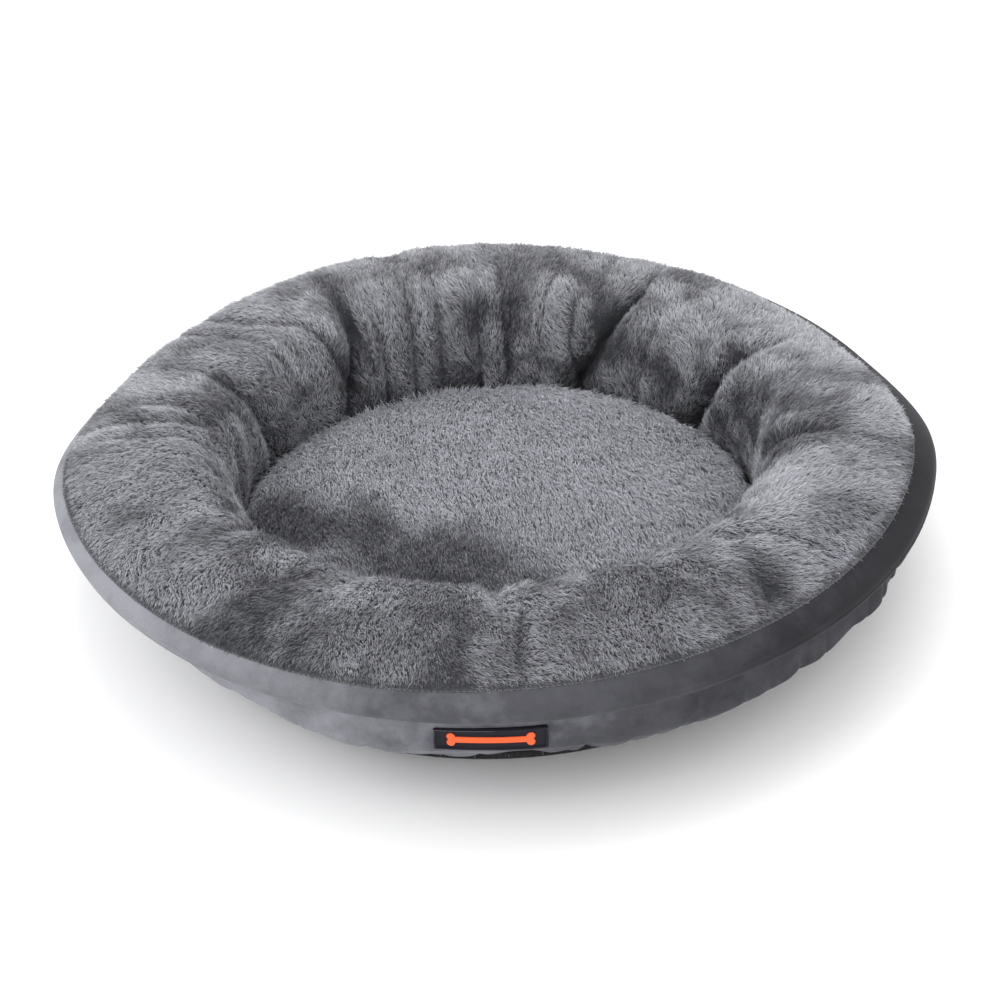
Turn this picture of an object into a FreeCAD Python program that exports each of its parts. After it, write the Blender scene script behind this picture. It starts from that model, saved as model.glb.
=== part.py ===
import FreeCAD, Part
import math
import os
import sys

import Sketcher

# Round pet cushion bed: a padded bowl whose side, rim and rolled bolster are one sewn shell,
# with a loose domed cushion in the well. Z is up, the rest face is Z = 0 and the front,
# where the label is sewn, faces -Y.

# Independent sizes in millimetres. Everything else is worked out from these.
SIZES = {
    # the shell seen from outside
    "bed_diameter": 700.0,
    "base_diameter": 538.0,
    "crest_rise": 15.0,
    "well_diameter": 412.0,
    # bolster roll
    "roll_radius": 46.0,
    "foot_flare": 5.0,
    "wall_curve_radius": 190.0,
    # padded rim band
    "band_foot_height": 98.0,
    "band_rise": 22.0,
    "band_lean": 12.0,
    "band_depth": 9.0,
    "band_pinch": 4.0,
    "band_bulge_radius": 48.0,
    "wadding_drop": 7.0,
    # side panel
    "panel_tuck": 0.8,
    "shoulder_drop": 1.0,
    "face_rise": 32.0,
    "elbow_rise": 11.0,
    "upper_elbow_inset": 14.0,
    "lower_elbow_inset": 25.0,
    "elbow_radius": 60.0,
    # base stack
    "base_turn_height": 6.0,
    "floor_height": 9.0,
    # cloth gauges and gaps
    "sheet_gauge": 1.2,
    "lining_gauge": 1.0,
    "panel_gauge": 2.2,
    "leaf_gauge": 1.2,
    "plush_gauge": 3.0,
    "layer_gap": 0.5,
    "trim_gap": 0.1,
    "thread_radius": 0.5,
    # loose cushion
    "cushion_gap": 6.0,
    "cushion_crown_height": 58.0,
    "cushion_shoulder_height": 46.0,
    "cushion_shoulder_inset": 22.0,
    "cushion_seam_height": 27.0,
    "cushion_seam_split": 0.8,
    "cushion_edge_radius": 25.0,
    "cushion_hem_inset": 15.0,
    "cushion_hem_radius": 17.0,
    # label patch on the side panel
    "label_width": 80.0,
    "label_drop": 7.5,
    "label_rise": 19.0,
    "label_gauge": 1.8,
    "label_relief": 0.7,
    "label_border": 2.2,
    "label_corner_radius": 2.0,
    "label_stitch_gauge": 0.4,
    "label_stitch_width": 0.7,
    "label_stitch_inset": 0.7,
    "motif_length": 60.0,
    "motif_height": 4.5,
    "motif_knob_height": 10.0,
    "motif_knob_length": 6.0,
    "motif_gauge": 0.9,
}

FRONT_TURN = -92.0
FULL_TURN = 360.0
HALF_TURN = "half turn"
AT_ZERO = 1e-9
MAX_NODES = 60

# The sketcher's own numbers for the points of an edge, the two axes and the origin.
START, END, CENTRE = 1, 2, 3
H_AXIS, V_AXIS = -1, -2
ORIGIN = (H_AXIS, START)

doc = FreeCAD.newDocument("pet_cushion_bed")
sheet = doc.addObject("Spreadsheet::Sheet", "Sizes")
for row, (alias, value) in enumerate(SIZES.items(), start=1):
    sheet.set("A%d" % row, alias)
    sheet.set("B%d" % row, str(value))
    sheet.setAlias("B%d" % row, alias)
doc.recompute()


def size(name):
    """Return the expression that reads one named size."""
    assert name in SIZES, name
    return "Sizes.%s" % name


def add(*terms):
    """Return the expression for a sum."""
    return "(" + " + ".join("(%s)" % term for term in terms) + ")"


def sub(first, *rest):
    """Return the expression for a difference."""
    return "(" + " - ".join("(%s)" % term for term in (first,) + rest) + ")"


def mul(first, second):
    """Return the expression for a product."""
    return "((%s) * (%s))" % (first, second)


def div(top, bottom):
    """Return the expression for a quotient."""
    return "((%s) / (%s))" % (top, bottom)


def half(term):
    """Return the expression for half of a term."""
    return div(term, "2")


def crown_radius(run, fall):
    """Return the radius of an arc that starts level and drops `fall` over `run`."""
    return div(add(mul(run, run), mul(fall, fall)), mul("2", fall))


def between(start, end, share):
    """Return the expression for a point part of the way from start to end."""
    return add(start, mul(sub(end, start), share))


def number(expression):
    """Evaluate an expression with the current sizes."""
    return float(sheet.evalExpression(expression))


def new_body(node):
    """Add a PartDesign body named after the node, placed on the row frame."""
    body = doc.addObject("PartDesign::Body", "Body_" + node)
    body.Label = node
    body.Placement = FreeCAD.Placement()
    return body


def face_front(body):
    """Turn a body made about +X so that its middle faces the front."""
    turn = FreeCAD.Rotation(FreeCAD.Vector(0, 0, 1), FRONT_TURN)
    body.Placement = FreeCAD.Placement(FreeCAD.Vector(), turn)


def profile_plane(body):
    """Return the body's own XZ plane."""
    return next(f for f in body.Origin.OriginFeatures if f.Role == "XZ_Plane")


def arc_between(start, end, radius, bulge):
    """Return an arc and whether it runs from start to end.

    bulge is +1 when the arc bows to the right of the walk from start to end, else -1.
    """
    chord = end - start
    middle = (start + end) * 0.5
    rise = math.sqrt(max(radius ** 2 - (chord.Length / 2) ** 2, 0.0))
    left = FreeCAD.Vector(-chord.y, chord.x, 0).normalize()
    centre = middle + left * (rise * bulge)
    from_angle = math.atan2(start.y - centre.y, start.x - centre.x)
    to_angle = math.atan2(end.y - centre.y, end.x - centre.x)
    circle = Part.Circle(centre, FreeCAD.Vector(0, 0, 1), radius)
    if bulge > 0:
        return Part.ArcOfCircle(circle, from_angle, to_angle), True
    return Part.ArcOfCircle(circle, to_angle, from_angle), False


def fix_corner(sketch, edge, end, name, radius_term, height_term):
    """Tie one corner of a profile to its radius and height."""
    for axis, line, kind, term in (
        ("r", V_AXIS, "DistanceX", radius_term),
        ("z", H_AXIS, "DistanceY", height_term),
    ):
        value = number(term)
        if abs(value) < AT_ZERO:
            sketch.addConstraint(Sketcher.Constraint("PointOnObject", edge, end, line))
            continue
        sketch.addConstraint(Sketcher.Constraint(kind, *ORIGIN, edge, end, value))
        label = "%s_%s" % (axis, name)
        sketch.renameConstraint(sketch.ConstraintCount - 1, label)
        sketch.setExpression("Constraints.%s" % label, term)


def add_profile(body, name, corners, arcs=None):
    """Draw a closed profile in the XZ plane, every corner and arc radius tied to a size.

    corners is a list of (radius, height) expressions. arcs maps the index of the corner
    an edge starts from to (radius expression, bulge); the radius of a level half turn is
    HALF_TURN.
    """
    arcs = arcs or {}
    sketch = body.newObject("Sketcher::SketchObject", name)
    sketch.AttachmentSupport = [(profile_plane(body), "")]
    sketch.MapMode = "FlatFace"
    points = [FreeCAD.Vector(number(r), number(z), 0) for r, z in corners]
    count = len(points)
    ends = []
    for index, start in enumerate(points):
        end = points[(index + 1) % count]
        forward = True
        if index in arcs:
            radius_term, bulge = arcs[index]
            whole = radius_term == HALF_TURN
            radius = (end - start).Length / 2 if whole else number(radius_term)
            shape, forward = arc_between(start, end, radius, bulge)
        else:
            shape = Part.LineSegment(start, end)
        sketch.addGeometry(shape, False)
        ends.append((START, END) if forward else (END, START))
    for index in range(count):
        after = (index + 1) % count
        joined = Sketcher.Constraint("Coincident", index, ends[index][1], after, ends[after][0])
        sketch.addConstraint(joined)
    for index, (radius_term, height_term) in enumerate(corners):
        fix_corner(sketch, index, ends[index][0], "corner%d" % index, radius_term, height_term)
    for index, (radius_term, _) in arcs.items():
        label = "arc%d" % index
        if radius_term == HALF_TURN:
            radius_term = corners[index][1]
            level = number(radius_term)
            centre = (index, CENTRE)
            sketch.addConstraint(Sketcher.Constraint("DistanceY", *ORIGIN, *centre, level))
        else:
            sketch.addConstraint(Sketcher.Constraint("Radius", index, number(radius_term)))
        sketch.renameConstraint(sketch.ConstraintCount - 1, label)
        sketch.setExpression("Constraints.%s" % label, radius_term)
    doc.recompute()
    assert sketch.solve() == 0, name
    return sketch


def spin(body, name, sketch, angle=None, kind="Revolution"):
    """Turn a profile about the bed's axis: all the way round, or centred over an angle."""
    feature = body.newObject("PartDesign::" + kind, name)
    feature.Profile = sketch
    feature.ReferenceAxis = (sketch, ["V_Axis"])
    feature.Angle = FULL_TURN
    if angle is not None:
        feature.Midplane = True
        feature.setExpression("Angle", angle)
    sketch.Visibility = False
    doc.recompute()
    return feature


def revolved_node(node, corners, arcs=None):
    """Add a node that is one full revolution of one profile."""
    body = new_body(node)
    sketch = add_profile(body, "Profile_" + node, corners, arcs)
    spin(body, "Turn_" + node, sketch)
    return body


def thread_ring(node, ring_radius, height):
    """Add a round thread that runs once round the bed."""
    ring = doc.addObject("Part::Torus", "Ring_" + node)
    ring.Label = node
    ring.setExpression("Radius1", ring_radius)
    ring.setExpression("Radius2", size("thread_radius"))
    ring.setExpression("Placement.Base.z", height)
    doc.recompute()
    return ring


def sector_angle(width, radius):
    """Return the angle in degrees that a width takes up at a radius."""
    return mul(div(width, radius), "180 / pi")


# Shared lines of the shell, as expressions. The names follow the cross-section.
GAP = size("layer_gap")
PLUSH = size("plush_gauge")
PANEL = size("panel_gauge")
LEAF = size("leaf_gauge")

bed_r = half(size("bed_diameter"))
base_r = half(size("base_diameter"))
well_r = half(size("well_diameter"))

seam_r = sub(bed_r, size("band_lean"))
seam_z = add(size("band_foot_height"), size("band_rise"))
fold_radius = half(size("band_depth"))
fold_z = add(size("band_foot_height"), fold_radius)

cover_r = sub(seam_r, size("band_pinch"), GAP)
crest_r = add(well_r, size("roll_radius"))
crest_z = add(seam_z, size("crest_rise"))
roll_z = sub(crest_z, size("roll_radius"))
foot_r = add(well_r, size("foot_flare"))
floor_z = size("floor_height")
wall_foot_z = add(floor_z, GAP)

shoulder_r = sub(bed_r, size("band_depth"), size("panel_tuck"))
shoulder_z = sub(size("band_foot_height"), size("shoulder_drop"))
upper_elbow_r = sub(bed_r, size("upper_elbow_inset"))
upper_elbow_z = sub(shoulder_z, size("face_rise"))
lower_elbow_r = sub(bed_r, size("lower_elbow_inset"))
lower_elbow_z = sub(upper_elbow_z, size("elbow_rise"))
hem_top_z = add(size("sheet_gauge"), size("base_turn_height"))
panel_foot_z = add(size("sheet_gauge"), GAP)
panel_top_z = sub(seam_z, PLUSH, GAP)
panel_top_r = sub(cover_r, GAP)
lower_slope = div(sub(lower_elbow_r, base_r), sub(lower_elbow_z, hem_top_z))
upper_slope = div(sub(shoulder_r, upper_elbow_r), sub(shoulder_z, upper_elbow_z))


def base_sheet():
    """Black non-slip cloth: a flat disc whose hem turns up over the foot of the side panel."""
    inside_r = add(base_r, GAP)
    outside_r = add(inside_r, size("sheet_gauge"))
    corners = [
        ("0", "0"),
        (outside_r, "0"),
        (outside_r, hem_top_z),
        (inside_r, hem_top_z),
        (inside_r, size("sheet_gauge")),
        ("0", size("sheet_gauge")),
    ]
    return revolved_node("base_sheet", corners)


def flat_disc(node, radius, low, high):
    """Add a plain disc between two heights."""
    return revolved_node(node, [("0", low), (radius, low), (radius, high), ("0", high)])


def base_wadding():
    """Thin padding between the base cloth and the floor lining."""
    low = add(size("sheet_gauge"), GAP)
    high = sub(floor_z, size("lining_gauge"), GAP)
    return flat_disc("base_wadding", sub(base_r, PANEL, GAP), low, high)


def floor_lining():
    """Cloth floor of the well, which the cushion lies on."""
    low = sub(floor_z, size("lining_gauge"))
    return flat_disc("floor_lining", sub(base_r, PANEL, GAP), low, floor_z)


def panel_line(inset):
    """Return the side panel's line from foot to top, moved inwards by an inset."""
    return [
        (sub(base_r, inset), panel_foot_z),
        (sub(base_r, inset), hem_top_z),
        (sub(lower_elbow_r, inset), lower_elbow_z),
        (sub(upper_elbow_r, inset), upper_elbow_z),
        (sub(shoulder_r, inset), shoulder_z),
        (sub(panel_top_r, inset), panel_top_z),
    ]


def side_panel():
    """Velvet side: out from the base, up to the rim, and in under the band to the seam."""
    outer = panel_line("0")
    inner = panel_line(PANEL)
    elbow = size("elbow_radius")
    corners = outer + inner[::-1]
    return revolved_node("side_panel", corners, {2: (elbow, 1), 8: (elbow, -1)})


def rim_band():
    """Velvet strip folded in half, its two raw edges sewn into the rim seam."""
    inner_fold_r = sub(bed_r, size("band_depth"))
    inner_seam_r = sub(seam_r, size("band_pinch"))
    bulge = size("band_bulge_radius")
    outside = [(seam_r, seam_z), (bed_r, fold_z), (inner_fold_r, fold_z), (inner_seam_r, seam_z)]
    inside = [
        (add(inner_seam_r, LEAF), seam_z),
        (add(inner_fold_r, LEAF), fold_z),
        (sub(bed_r, LEAF), fold_z),
        (sub(seam_r, LEAF), seam_z),
    ]
    arcs = {0: (bulge, -1), 1: (HALF_TURN, -1), 5: (HALF_TURN, 1), 6: (bulge, 1)}
    return revolved_node("rim_band", outside + inside, arcs)


def rim_band_wadding():
    """Soft strip inside the folded band."""
    top_z = sub(seam_z, size("wadding_drop"))
    share = div(sub(top_z, fold_z), sub(seam_z, fold_z))
    outer_low = sub(bed_r, LEAF, GAP)
    inner_low = add(sub(bed_r, size("band_depth")), LEAF, GAP)
    outer_high = sub(seam_r, LEAF, GAP)
    inner_high = add(sub(seam_r, size("band_pinch")), LEAF, GAP)
    corners = [
        (between(outer_low, outer_high, share), top_z),
        (between(inner_low, inner_high, share), top_z),
        (inner_low, fold_z),
        (outer_low, fold_z),
    ]
    return revolved_node("rim_band_wadding", corners)


def bolster_cover():
    """Plush from the rim seam over the rolled crest and down the wall to the floor."""
    crown = crown_radius(sub(cover_r, crest_r), sub(crest_z, seam_z))
    wall = size("wall_curve_radius")
    roll = size("roll_radius")
    corners = [
        (cover_r, seam_z),
        (crest_r, crest_z),
        (well_r, roll_z),
        (foot_r, wall_foot_z),
        (add(foot_r, PLUSH), wall_foot_z),
        (add(well_r, PLUSH), roll_z),
        (crest_r, sub(crest_z, PLUSH)),
        (cover_r, sub(seam_z, PLUSH)),
    ]
    arcs = {
        0: (crown, 1),
        1: (roll, 1),
        2: (wall, 1),
        4: (wall, -1),
        5: (sub(roll, PLUSH), -1),
        6: (crown, -1),
    }
    return revolved_node("bolster_cover", corners, arcs)


def bolster_filling():
    """Fibre that fills the ring between the plush, the side panel and the floor."""
    inset = add(PLUSH, GAP)
    panel_inset = add(PANEL, GAP)
    low_z = add(floor_z, GAP)
    low_r = sub(add(base_r, mul(sub(low_z, hem_top_z), lower_slope)), panel_inset)
    top = (sub(panel_top_r, panel_inset), sub(panel_top_z, GAP))
    crest = (crest_r, sub(crest_z, inset))
    elbows = panel_line(panel_inset)[2:5]
    corners = [
        top,
        crest,
        (add(well_r, inset), roll_z),
        (add(foot_r, inset), low_z),
        (low_r, low_z),
    ] + elbows
    arcs = {
        0: (crown_radius(sub(top[0], crest[0]), sub(crest[1], top[1])), 1),
        1: (sub(size("roll_radius"), inset), 1),
        2: (size("wall_curve_radius"), 1),
        5: (size("elbow_radius"), 1),
    }
    return revolved_node("bolster_filling", corners, arcs)


cushion_r = sub(well_r, size("cushion_gap"))
cushion_shoulder_r = sub(cushion_r, size("cushion_shoulder_inset"))
cushion_hem_r = sub(cushion_r, size("cushion_hem_inset"))
cushion_base_z = add(floor_z, GAP)
cushion_top_edge_z = add(size("cushion_seam_height"), half(size("cushion_seam_split")))
cushion_low_edge_z = sub(size("cushion_seam_height"), half(size("cushion_seam_split")))
cushion_crown = crown_radius(
    cushion_shoulder_r,
    sub(size("cushion_crown_height"), size("cushion_shoulder_height")),
)


def cushion_top_line(inset):
    """Return the cushion's upper line from axis to seam, moved in by an inset."""
    return [
        ("0", sub(size("cushion_crown_height"), inset)),
        (cushion_shoulder_r, sub(size("cushion_shoulder_height"), inset)),
        (sub(cushion_r, inset), cushion_top_edge_z),
    ]


def cushion_low_line(inset):
    """Return the cushion's lower line from seam to axis, moved in by an inset."""
    return [
        (sub(cushion_r, inset), cushion_low_edge_z),
        (cushion_hem_r, add(cushion_base_z, inset)),
        ("0", add(cushion_base_z, inset)),
    ]


def cushion_top_cover():
    """Plush upper half of the loose cushion."""
    edge = size("cushion_edge_radius")
    corners = cushion_top_line("0") + cushion_top_line(PLUSH)[::-1]
    arcs = {
        0: (cushion_crown, -1),
        1: (edge, -1),
        3: (sub(edge, PLUSH), 1),
        4: (cushion_crown, 1),
    }
    return revolved_node("cushion_top_cover", corners, arcs)


def cushion_underside():
    """Plain cloth lower half of the loose cushion."""
    hem = size("cushion_hem_radius")
    gauge = size("lining_gauge")
    corners = cushion_low_line("0") + cushion_low_line(gauge)[::-1]
    return revolved_node("cushion_underside", corners, {0: (hem, -1), 4: (sub(hem, gauge), 1)})


def cushion_filling():
    """Fibre inside the loose cushion."""
    top_inset = add(PLUSH, GAP)
    low_inset = add(size("lining_gauge"), GAP)
    edge_r = sub(cushion_r, top_inset)
    corners = cushion_top_line(top_inset) + [
        (edge_r, cushion_low_edge_z),
        (cushion_hem_r, add(cushion_base_z, low_inset)),
        ("0", add(cushion_base_z, low_inset)),
    ]
    arcs = {
        0: (cushion_crown, -1),
        1: (sub(size("cushion_edge_radius"), top_inset), -1),
        3: (sub(size("cushion_hem_radius"), top_inset), -1),
    }
    return revolved_node("cushion_filling", corners, arcs)


def panel_face_r(height):
    """Return the radius of the side panel's upper face at a height."""
    return add(upper_elbow_r, mul(sub(height, upper_elbow_z), upper_slope))


def slab(inner_offset, gauge, low, high):
    """Return the section of a slab that follows the side panel's upper face."""
    outer_offset = add(inner_offset, gauge)
    return [
        (add(panel_face_r(low), inner_offset), low),
        (add(panel_face_r(low), outer_offset), low),
        (add(panel_face_r(high), outer_offset), high),
        (add(panel_face_r(high), inner_offset), high),
    ]


label_high = sub(shoulder_z, size("label_drop"))
label_low = sub(label_high, size("label_rise"))
label_middle = half(add(label_low, label_high))
label_r = panel_face_r(label_middle)
label_face = add(GAP, size("label_gauge"))
label_floor = sub(label_face, size("label_relief"))


def round_corners(body, radius):
    """Round the short edges that run through a patch's thickness."""
    slab_feature = body.Tip
    longest = 2 * number(size("label_gauge"))
    edges = slab_feature.Shape.Edges
    short = ["Edge%d" % index for index, edge in enumerate(edges, start=1) if edge.Length < longest]
    fillet = body.newObject("PartDesign::Fillet", "Round_" + body.Label)
    fillet.Base = (slab_feature, short)
    fillet.setExpression("Radius", radius)
    doc.recompute()


def framed_slab(node, offset, gauge, inset, border, cut_depth, corner_radius=None):
    """Add a slab on the front of the side panel with its middle cut back inside a border."""
    body = new_body(node)
    low = add(label_low, inset)
    high = sub(label_high, inset)
    width = sub(size("label_width"), mul("2", inset))
    section = add_profile(body, "Profile_" + node, slab(offset, gauge, low, high))
    spin(body, "Turn_" + node, section, sector_angle(width, label_r))
    if corner_radius is not None:
        round_corners(body, corner_radius)
    before = body.Tip.Shape.Volume
    window = slab(
        sub(add(offset, gauge), cut_depth),
        mul("2", cut_depth),
        add(low, border),
        sub(high, border),
    )
    window_sketch = add_profile(body, "Window_" + node, window)
    window_width = sub(width, mul("2", border))
    spin(body, "Cut_" + node, window_sketch, sector_angle(window_width, label_r), "Groove")
    assert body.Tip.Shape.Volume < before, node
    return body


def label_patch():
    """Rubber patch with a raised border, bent round the front of the side panel."""
    body = framed_slab(
        "label_patch",
        GAP,
        size("label_gauge"),
        "0",
        size("label_border"),
        size("label_relief"),
        size("label_corner_radius"),
    )
    face_front(body)
    return body


def label_stitching():
    """Thread that runs round the patch's border."""
    body = framed_slab(
        "label_stitching",
        add(label_face, size("trim_gap")),
        size("label_stitch_gauge"),
        size("label_stitch_inset"),
        size("label_stitch_width"),
        add(size("label_stitch_gauge"), size("trim_gap")),
    )
    face_front(body)
    return body


def label_motif():
    """Plain raised bar with a knob at each end, in place of any lettering."""
    body = new_body("label_motif")
    inner = add(label_floor, size("trim_gap"))
    gauge = size("motif_gauge")
    half_knob = half(size("motif_knob_height"))
    half_bar = half(size("motif_height"))
    section = slab(inner, gauge, sub(label_middle, half_knob), add(label_middle, half_knob))
    sketch = add_profile(body, "Profile_motif", section)
    spin(body, "Turn_motif", sketch, sector_angle(size("motif_length"), label_r))
    between_knobs = sub(size("motif_length"), mul("2", size("motif_knob_length")))
    notches = {
        "above": (add(label_middle, half_bar), add(label_middle, mul("2", half_knob))),
        "below": (sub(label_middle, mul("2", half_knob)), sub(label_middle, half_bar)),
    }
    for name, (low, high) in notches.items():
        before = body.Tip.Shape.Volume
        notch = slab(sub(inner, gauge), mul("3", gauge), low, high)
        sketch = add_profile(body, "Notch_" + name, notch)
        spin(body, "Cut_" + name, sketch, sector_angle(between_knobs, label_r), "Groove")
        assert body.Tip.Shape.Volume < before, name
    face_front(body)
    return body


def threads():
    """Add the three seams' threads that run all the way round."""
    hem_height = add(size("sheet_gauge"), half(size("base_turn_height")))
    hem_out = add(base_r, GAP, size("sheet_gauge"))
    clear = add(size("thread_radius"), GAP)
    return [
        thread_ring("base_hem_thread", add(hem_out, clear), hem_height),
        thread_ring("rim_seam_thread", sub(seam_r, size("band_pinch")), add(seam_z, clear)),
        thread_ring("cushion_seam_thread", add(cushion_r, clear), size("cushion_seam_height")),
    ]


def check(nodes):
    """Stop if any object is in a bad state or any solid is null, open or broken."""
    for item in doc.Objects:
        bad = [state for state in item.State if state in ("Invalid", "Error")]
        assert not bad, (item.Name, bad)
    for node in nodes:
        shape = node.Shape
        assert not shape.isNull(), node.Label
        assert shape.isValid(), node.Label
        assert len(shape.Solids) == 1, (node.Label, len(shape.Solids))


def export(nodes):
    """Write one STEP file per node."""
    os.makedirs("parts", exist_ok=True)
    assert len(nodes) <= MAX_NODES
    for node in nodes:
        node.Shape.exportStep(os.path.join("parts", node.Label + ".step"))


def main():
    """Build every node, check it and write it out."""
    nodes = [
        base_sheet(),
        base_wadding(),
        floor_lining(),
        side_panel(),
        rim_band(),
        rim_band_wadding(),
        bolster_cover(),
        bolster_filling(),
        cushion_top_cover(),
        cushion_underside(),
        cushion_filling(),
        label_patch(),
        label_stitching(),
        label_motif(),
    ] + threads()
    doc.recompute()
    check(nodes)
    export(nodes)
    for node in nodes:
        box = node.Shape.BoundBox
        print("%-22s %9.1f mm3  z %6.2f to %6.2f  x %7.2f to %7.2f" % (
            node.Label, node.Shape.Volume, box.ZMin, box.ZMax, box.XMin, box.XMax))


main()
sys.stdout.flush()
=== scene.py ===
import logging
import math
from dataclasses import dataclass, field
from enum import Enum, IntEnum
from itertools import product
from typing import Callable, Sequence

import bpy
import numpy as np
from mathutils import Matrix, Vector


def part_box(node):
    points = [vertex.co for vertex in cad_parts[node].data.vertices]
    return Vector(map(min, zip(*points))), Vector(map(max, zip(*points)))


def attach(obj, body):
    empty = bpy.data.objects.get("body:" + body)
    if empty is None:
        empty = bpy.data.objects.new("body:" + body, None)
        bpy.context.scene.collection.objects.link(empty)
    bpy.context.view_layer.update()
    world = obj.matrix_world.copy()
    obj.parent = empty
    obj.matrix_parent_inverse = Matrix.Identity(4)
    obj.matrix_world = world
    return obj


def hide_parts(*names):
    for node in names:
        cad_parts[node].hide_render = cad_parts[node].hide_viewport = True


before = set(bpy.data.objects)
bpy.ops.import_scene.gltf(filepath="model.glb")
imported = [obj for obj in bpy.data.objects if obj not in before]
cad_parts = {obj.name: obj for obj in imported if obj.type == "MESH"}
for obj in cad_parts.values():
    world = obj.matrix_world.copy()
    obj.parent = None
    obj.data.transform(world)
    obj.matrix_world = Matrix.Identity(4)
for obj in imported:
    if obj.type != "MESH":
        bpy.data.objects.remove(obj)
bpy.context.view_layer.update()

log = logging.getLogger("pet_bed")

MM = 0.001
UP = np.array([0.0, 0.0, 1.0])
FULL_TURN = 2 * math.pi
BED = "bed"
CUSHION = "cushion"
FRONT = -math.pi / 2
WAVES_PER_SCALE = 20

Colour = tuple[float, float, float]
Place = tuple[float, float, float]


class Seed(IntEnum):
    """The patterns of noise, and the first numbers of the pile's own patterns."""

    LUMPS = 3
    SEAM = 5
    FUZZ = 9
    BAND_WAVE = 11
    BAND_HANG = 12
    WIDE_FOLDS = 21
    NARROW_FOLDS = 22
    SLANT = 31
    DROOP = 33
    SWIRL = 40
    STRAY = 50
    PATCH = 60
    BASE = 61
    LEAN = 70
    TONE = 71
    CUSHION = 81
    WRINKLES = 91
    WRINKLED_PLACES = 92
    STRANDS = 100


# ---------------------------------------------------------------- sizes shared by the pieces


@dataclass(frozen=True)
class Layout:
    """Where the sewn shell and the cushion lie, in metres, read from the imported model."""

    fold_radius: float
    fold_height: float
    seam_radius: float
    seam_height: float
    crest_height: float
    well_radius: float
    base_radius: float
    hem_height: float
    floor_height: float
    cushion_radius: float
    cushion_foot: float
    cushion_seam: float
    cushion_crown: float

    @classmethod
    def from_frame(cls) -> "Layout":
        """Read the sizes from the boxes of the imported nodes.

        Returns:
            The layout of the whole bed.
        """
        names = ("rim_band", "rim_seam_thread", "bolster_cover", "base_sheet", "floor_lining")
        names += ("cushion_top_cover", "cushion_underside")
        low, high = ({name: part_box(name)[end] for name in names} for end in (0, 1))
        cushion_low, cushion_high = low["cushion_top_cover"][2], high["cushion_underside"][2]
        return cls(
            fold_radius=high["rim_band"][0],
            fold_height=low["rim_band"][2],
            seam_radius=high["rim_seam_thread"][0] + 3.0 * MM,
            seam_height=high["rim_band"][2],
            crest_height=high["bolster_cover"][2],
            well_radius=high["cushion_top_cover"][0] + 6.0 * MM,
            base_radius=high["base_sheet"][0],
            hem_height=high["base_sheet"][2],
            floor_height=high["floor_lining"][2],
            cushion_radius=high["cushion_top_cover"][0],
            cushion_foot=low["cushion_underside"][2],
            cushion_seam=(cushion_low + cushion_high) / 2,
            cushion_crown=high["cushion_top_cover"][2],
        )


# ---------------------------------------------------------------- numbers and noise


def smooth(value: np.ndarray, low: float, high: float) -> np.ndarray:
    """Ease from 0 below low to 1 above high.

    Args:
        value: The numbers to ease.
        low: Where the rise starts.
        high: Where the rise ends.

    Returns:
        The eased numbers.
    """
    share = np.clip((value - low) / (high - low), 0.0, 1.0)
    return share * share * (3 - 2 * share)


def hashed(cells: np.ndarray, seed: int) -> np.ndarray:
    """Turn whole lattice cells into steady numbers from -1 to 1.

    Args:
        cells: Rows of three whole numbers.
        seed: Chooses the pattern.

    Returns:
        One number for each row.
    """
    mixed = cells[:, 0] * 73856093 ^ cells[:, 1] * 19349663 ^ cells[:, 2] * 83492791 ^ (seed * 9176)
    mixed = (mixed ^ (mixed >> 13)) * 1274126177 & 0x7FFFFFFF
    mixed = (mixed ^ (mixed >> 16)) * 2246822519 & 0x7FFFFFFF
    return (mixed & 0xFFFF) / 32767.5 - 1.0


def lattice_noise(points: np.ndarray, cell: float, seed: int) -> np.ndarray:
    """Give smooth noise whose features are about one cell wide.

    Args:
        points: Rows of x, y and z in metres.
        cell: The width of a feature in metres.
        seed: Chooses the pattern.

    Returns:
        One number from -1 to 1 for each point.
    """
    scaled = points / cell
    base = np.floor(scaled).astype(np.int64)
    part = scaled - base
    ease = part * part * (3 - 2 * part)
    total = np.zeros(len(points))
    for corner in product((0, 1), repeat=3):
        step = np.array(corner)
        weight = np.prod(np.where(step == 1, ease, 1 - ease), axis=1)
        total += weight * hashed(base + step, seed)
    return total


def cloudy(points: np.ndarray, cell: float, seed: int, layers: int = 3) -> np.ndarray:
    """Add layers of noise, each half as wide and half as strong as the one before.

    Args:
        points: Rows of x, y and z in metres.
        cell: The width of the largest features in metres.
        seed: Chooses the pattern.
        layers: How many layers are added.

    Returns:
        One number from about -1 to 1 for each point.
    """
    total = np.zeros(len(points))
    strength = 1.0
    for layer in range(layers):
        total += strength * lattice_noise(points, cell / 2**layer, seed + 17 * layer)
        strength *= 0.5
    return total / (2 - 2.0 ** (1 - layers))


def unit(vectors: np.ndarray) -> np.ndarray:
    """Scale each row to a length of one."""
    return vectors / np.maximum(np.linalg.norm(vectors, axis=-1, keepdims=True), 1e-12)


def round_noise(turn: np.ndarray, radius: float, cell: float, seed: int) -> np.ndarray:
    """Give noise that depends only on the place round the bed.

    Args:
        turn: Angles in radians.
        radius: The radius at which the features are cell wide.
        cell: The width of a feature in metres.
        seed: Chooses the pattern.

    Returns:
        One number for each angle, in the same shape.
    """
    flat = np.ravel(turn)
    points = np.stack([np.cos(flat) * radius, np.sin(flat) * radius, 0 * flat], axis=1)
    return lattice_noise(points, cell, seed).reshape(np.shape(turn))


def turns(steps: int) -> np.ndarray:
    """Give evenly spaced angles round the bed, in radians."""
    return np.linspace(0, FULL_TURN, steps, endpoint=False)


def turn_of(points: np.ndarray) -> np.ndarray:
    """Give the angle round the bed at which each point lies."""
    return np.arctan2(points[..., 1], points[..., 0])


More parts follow.
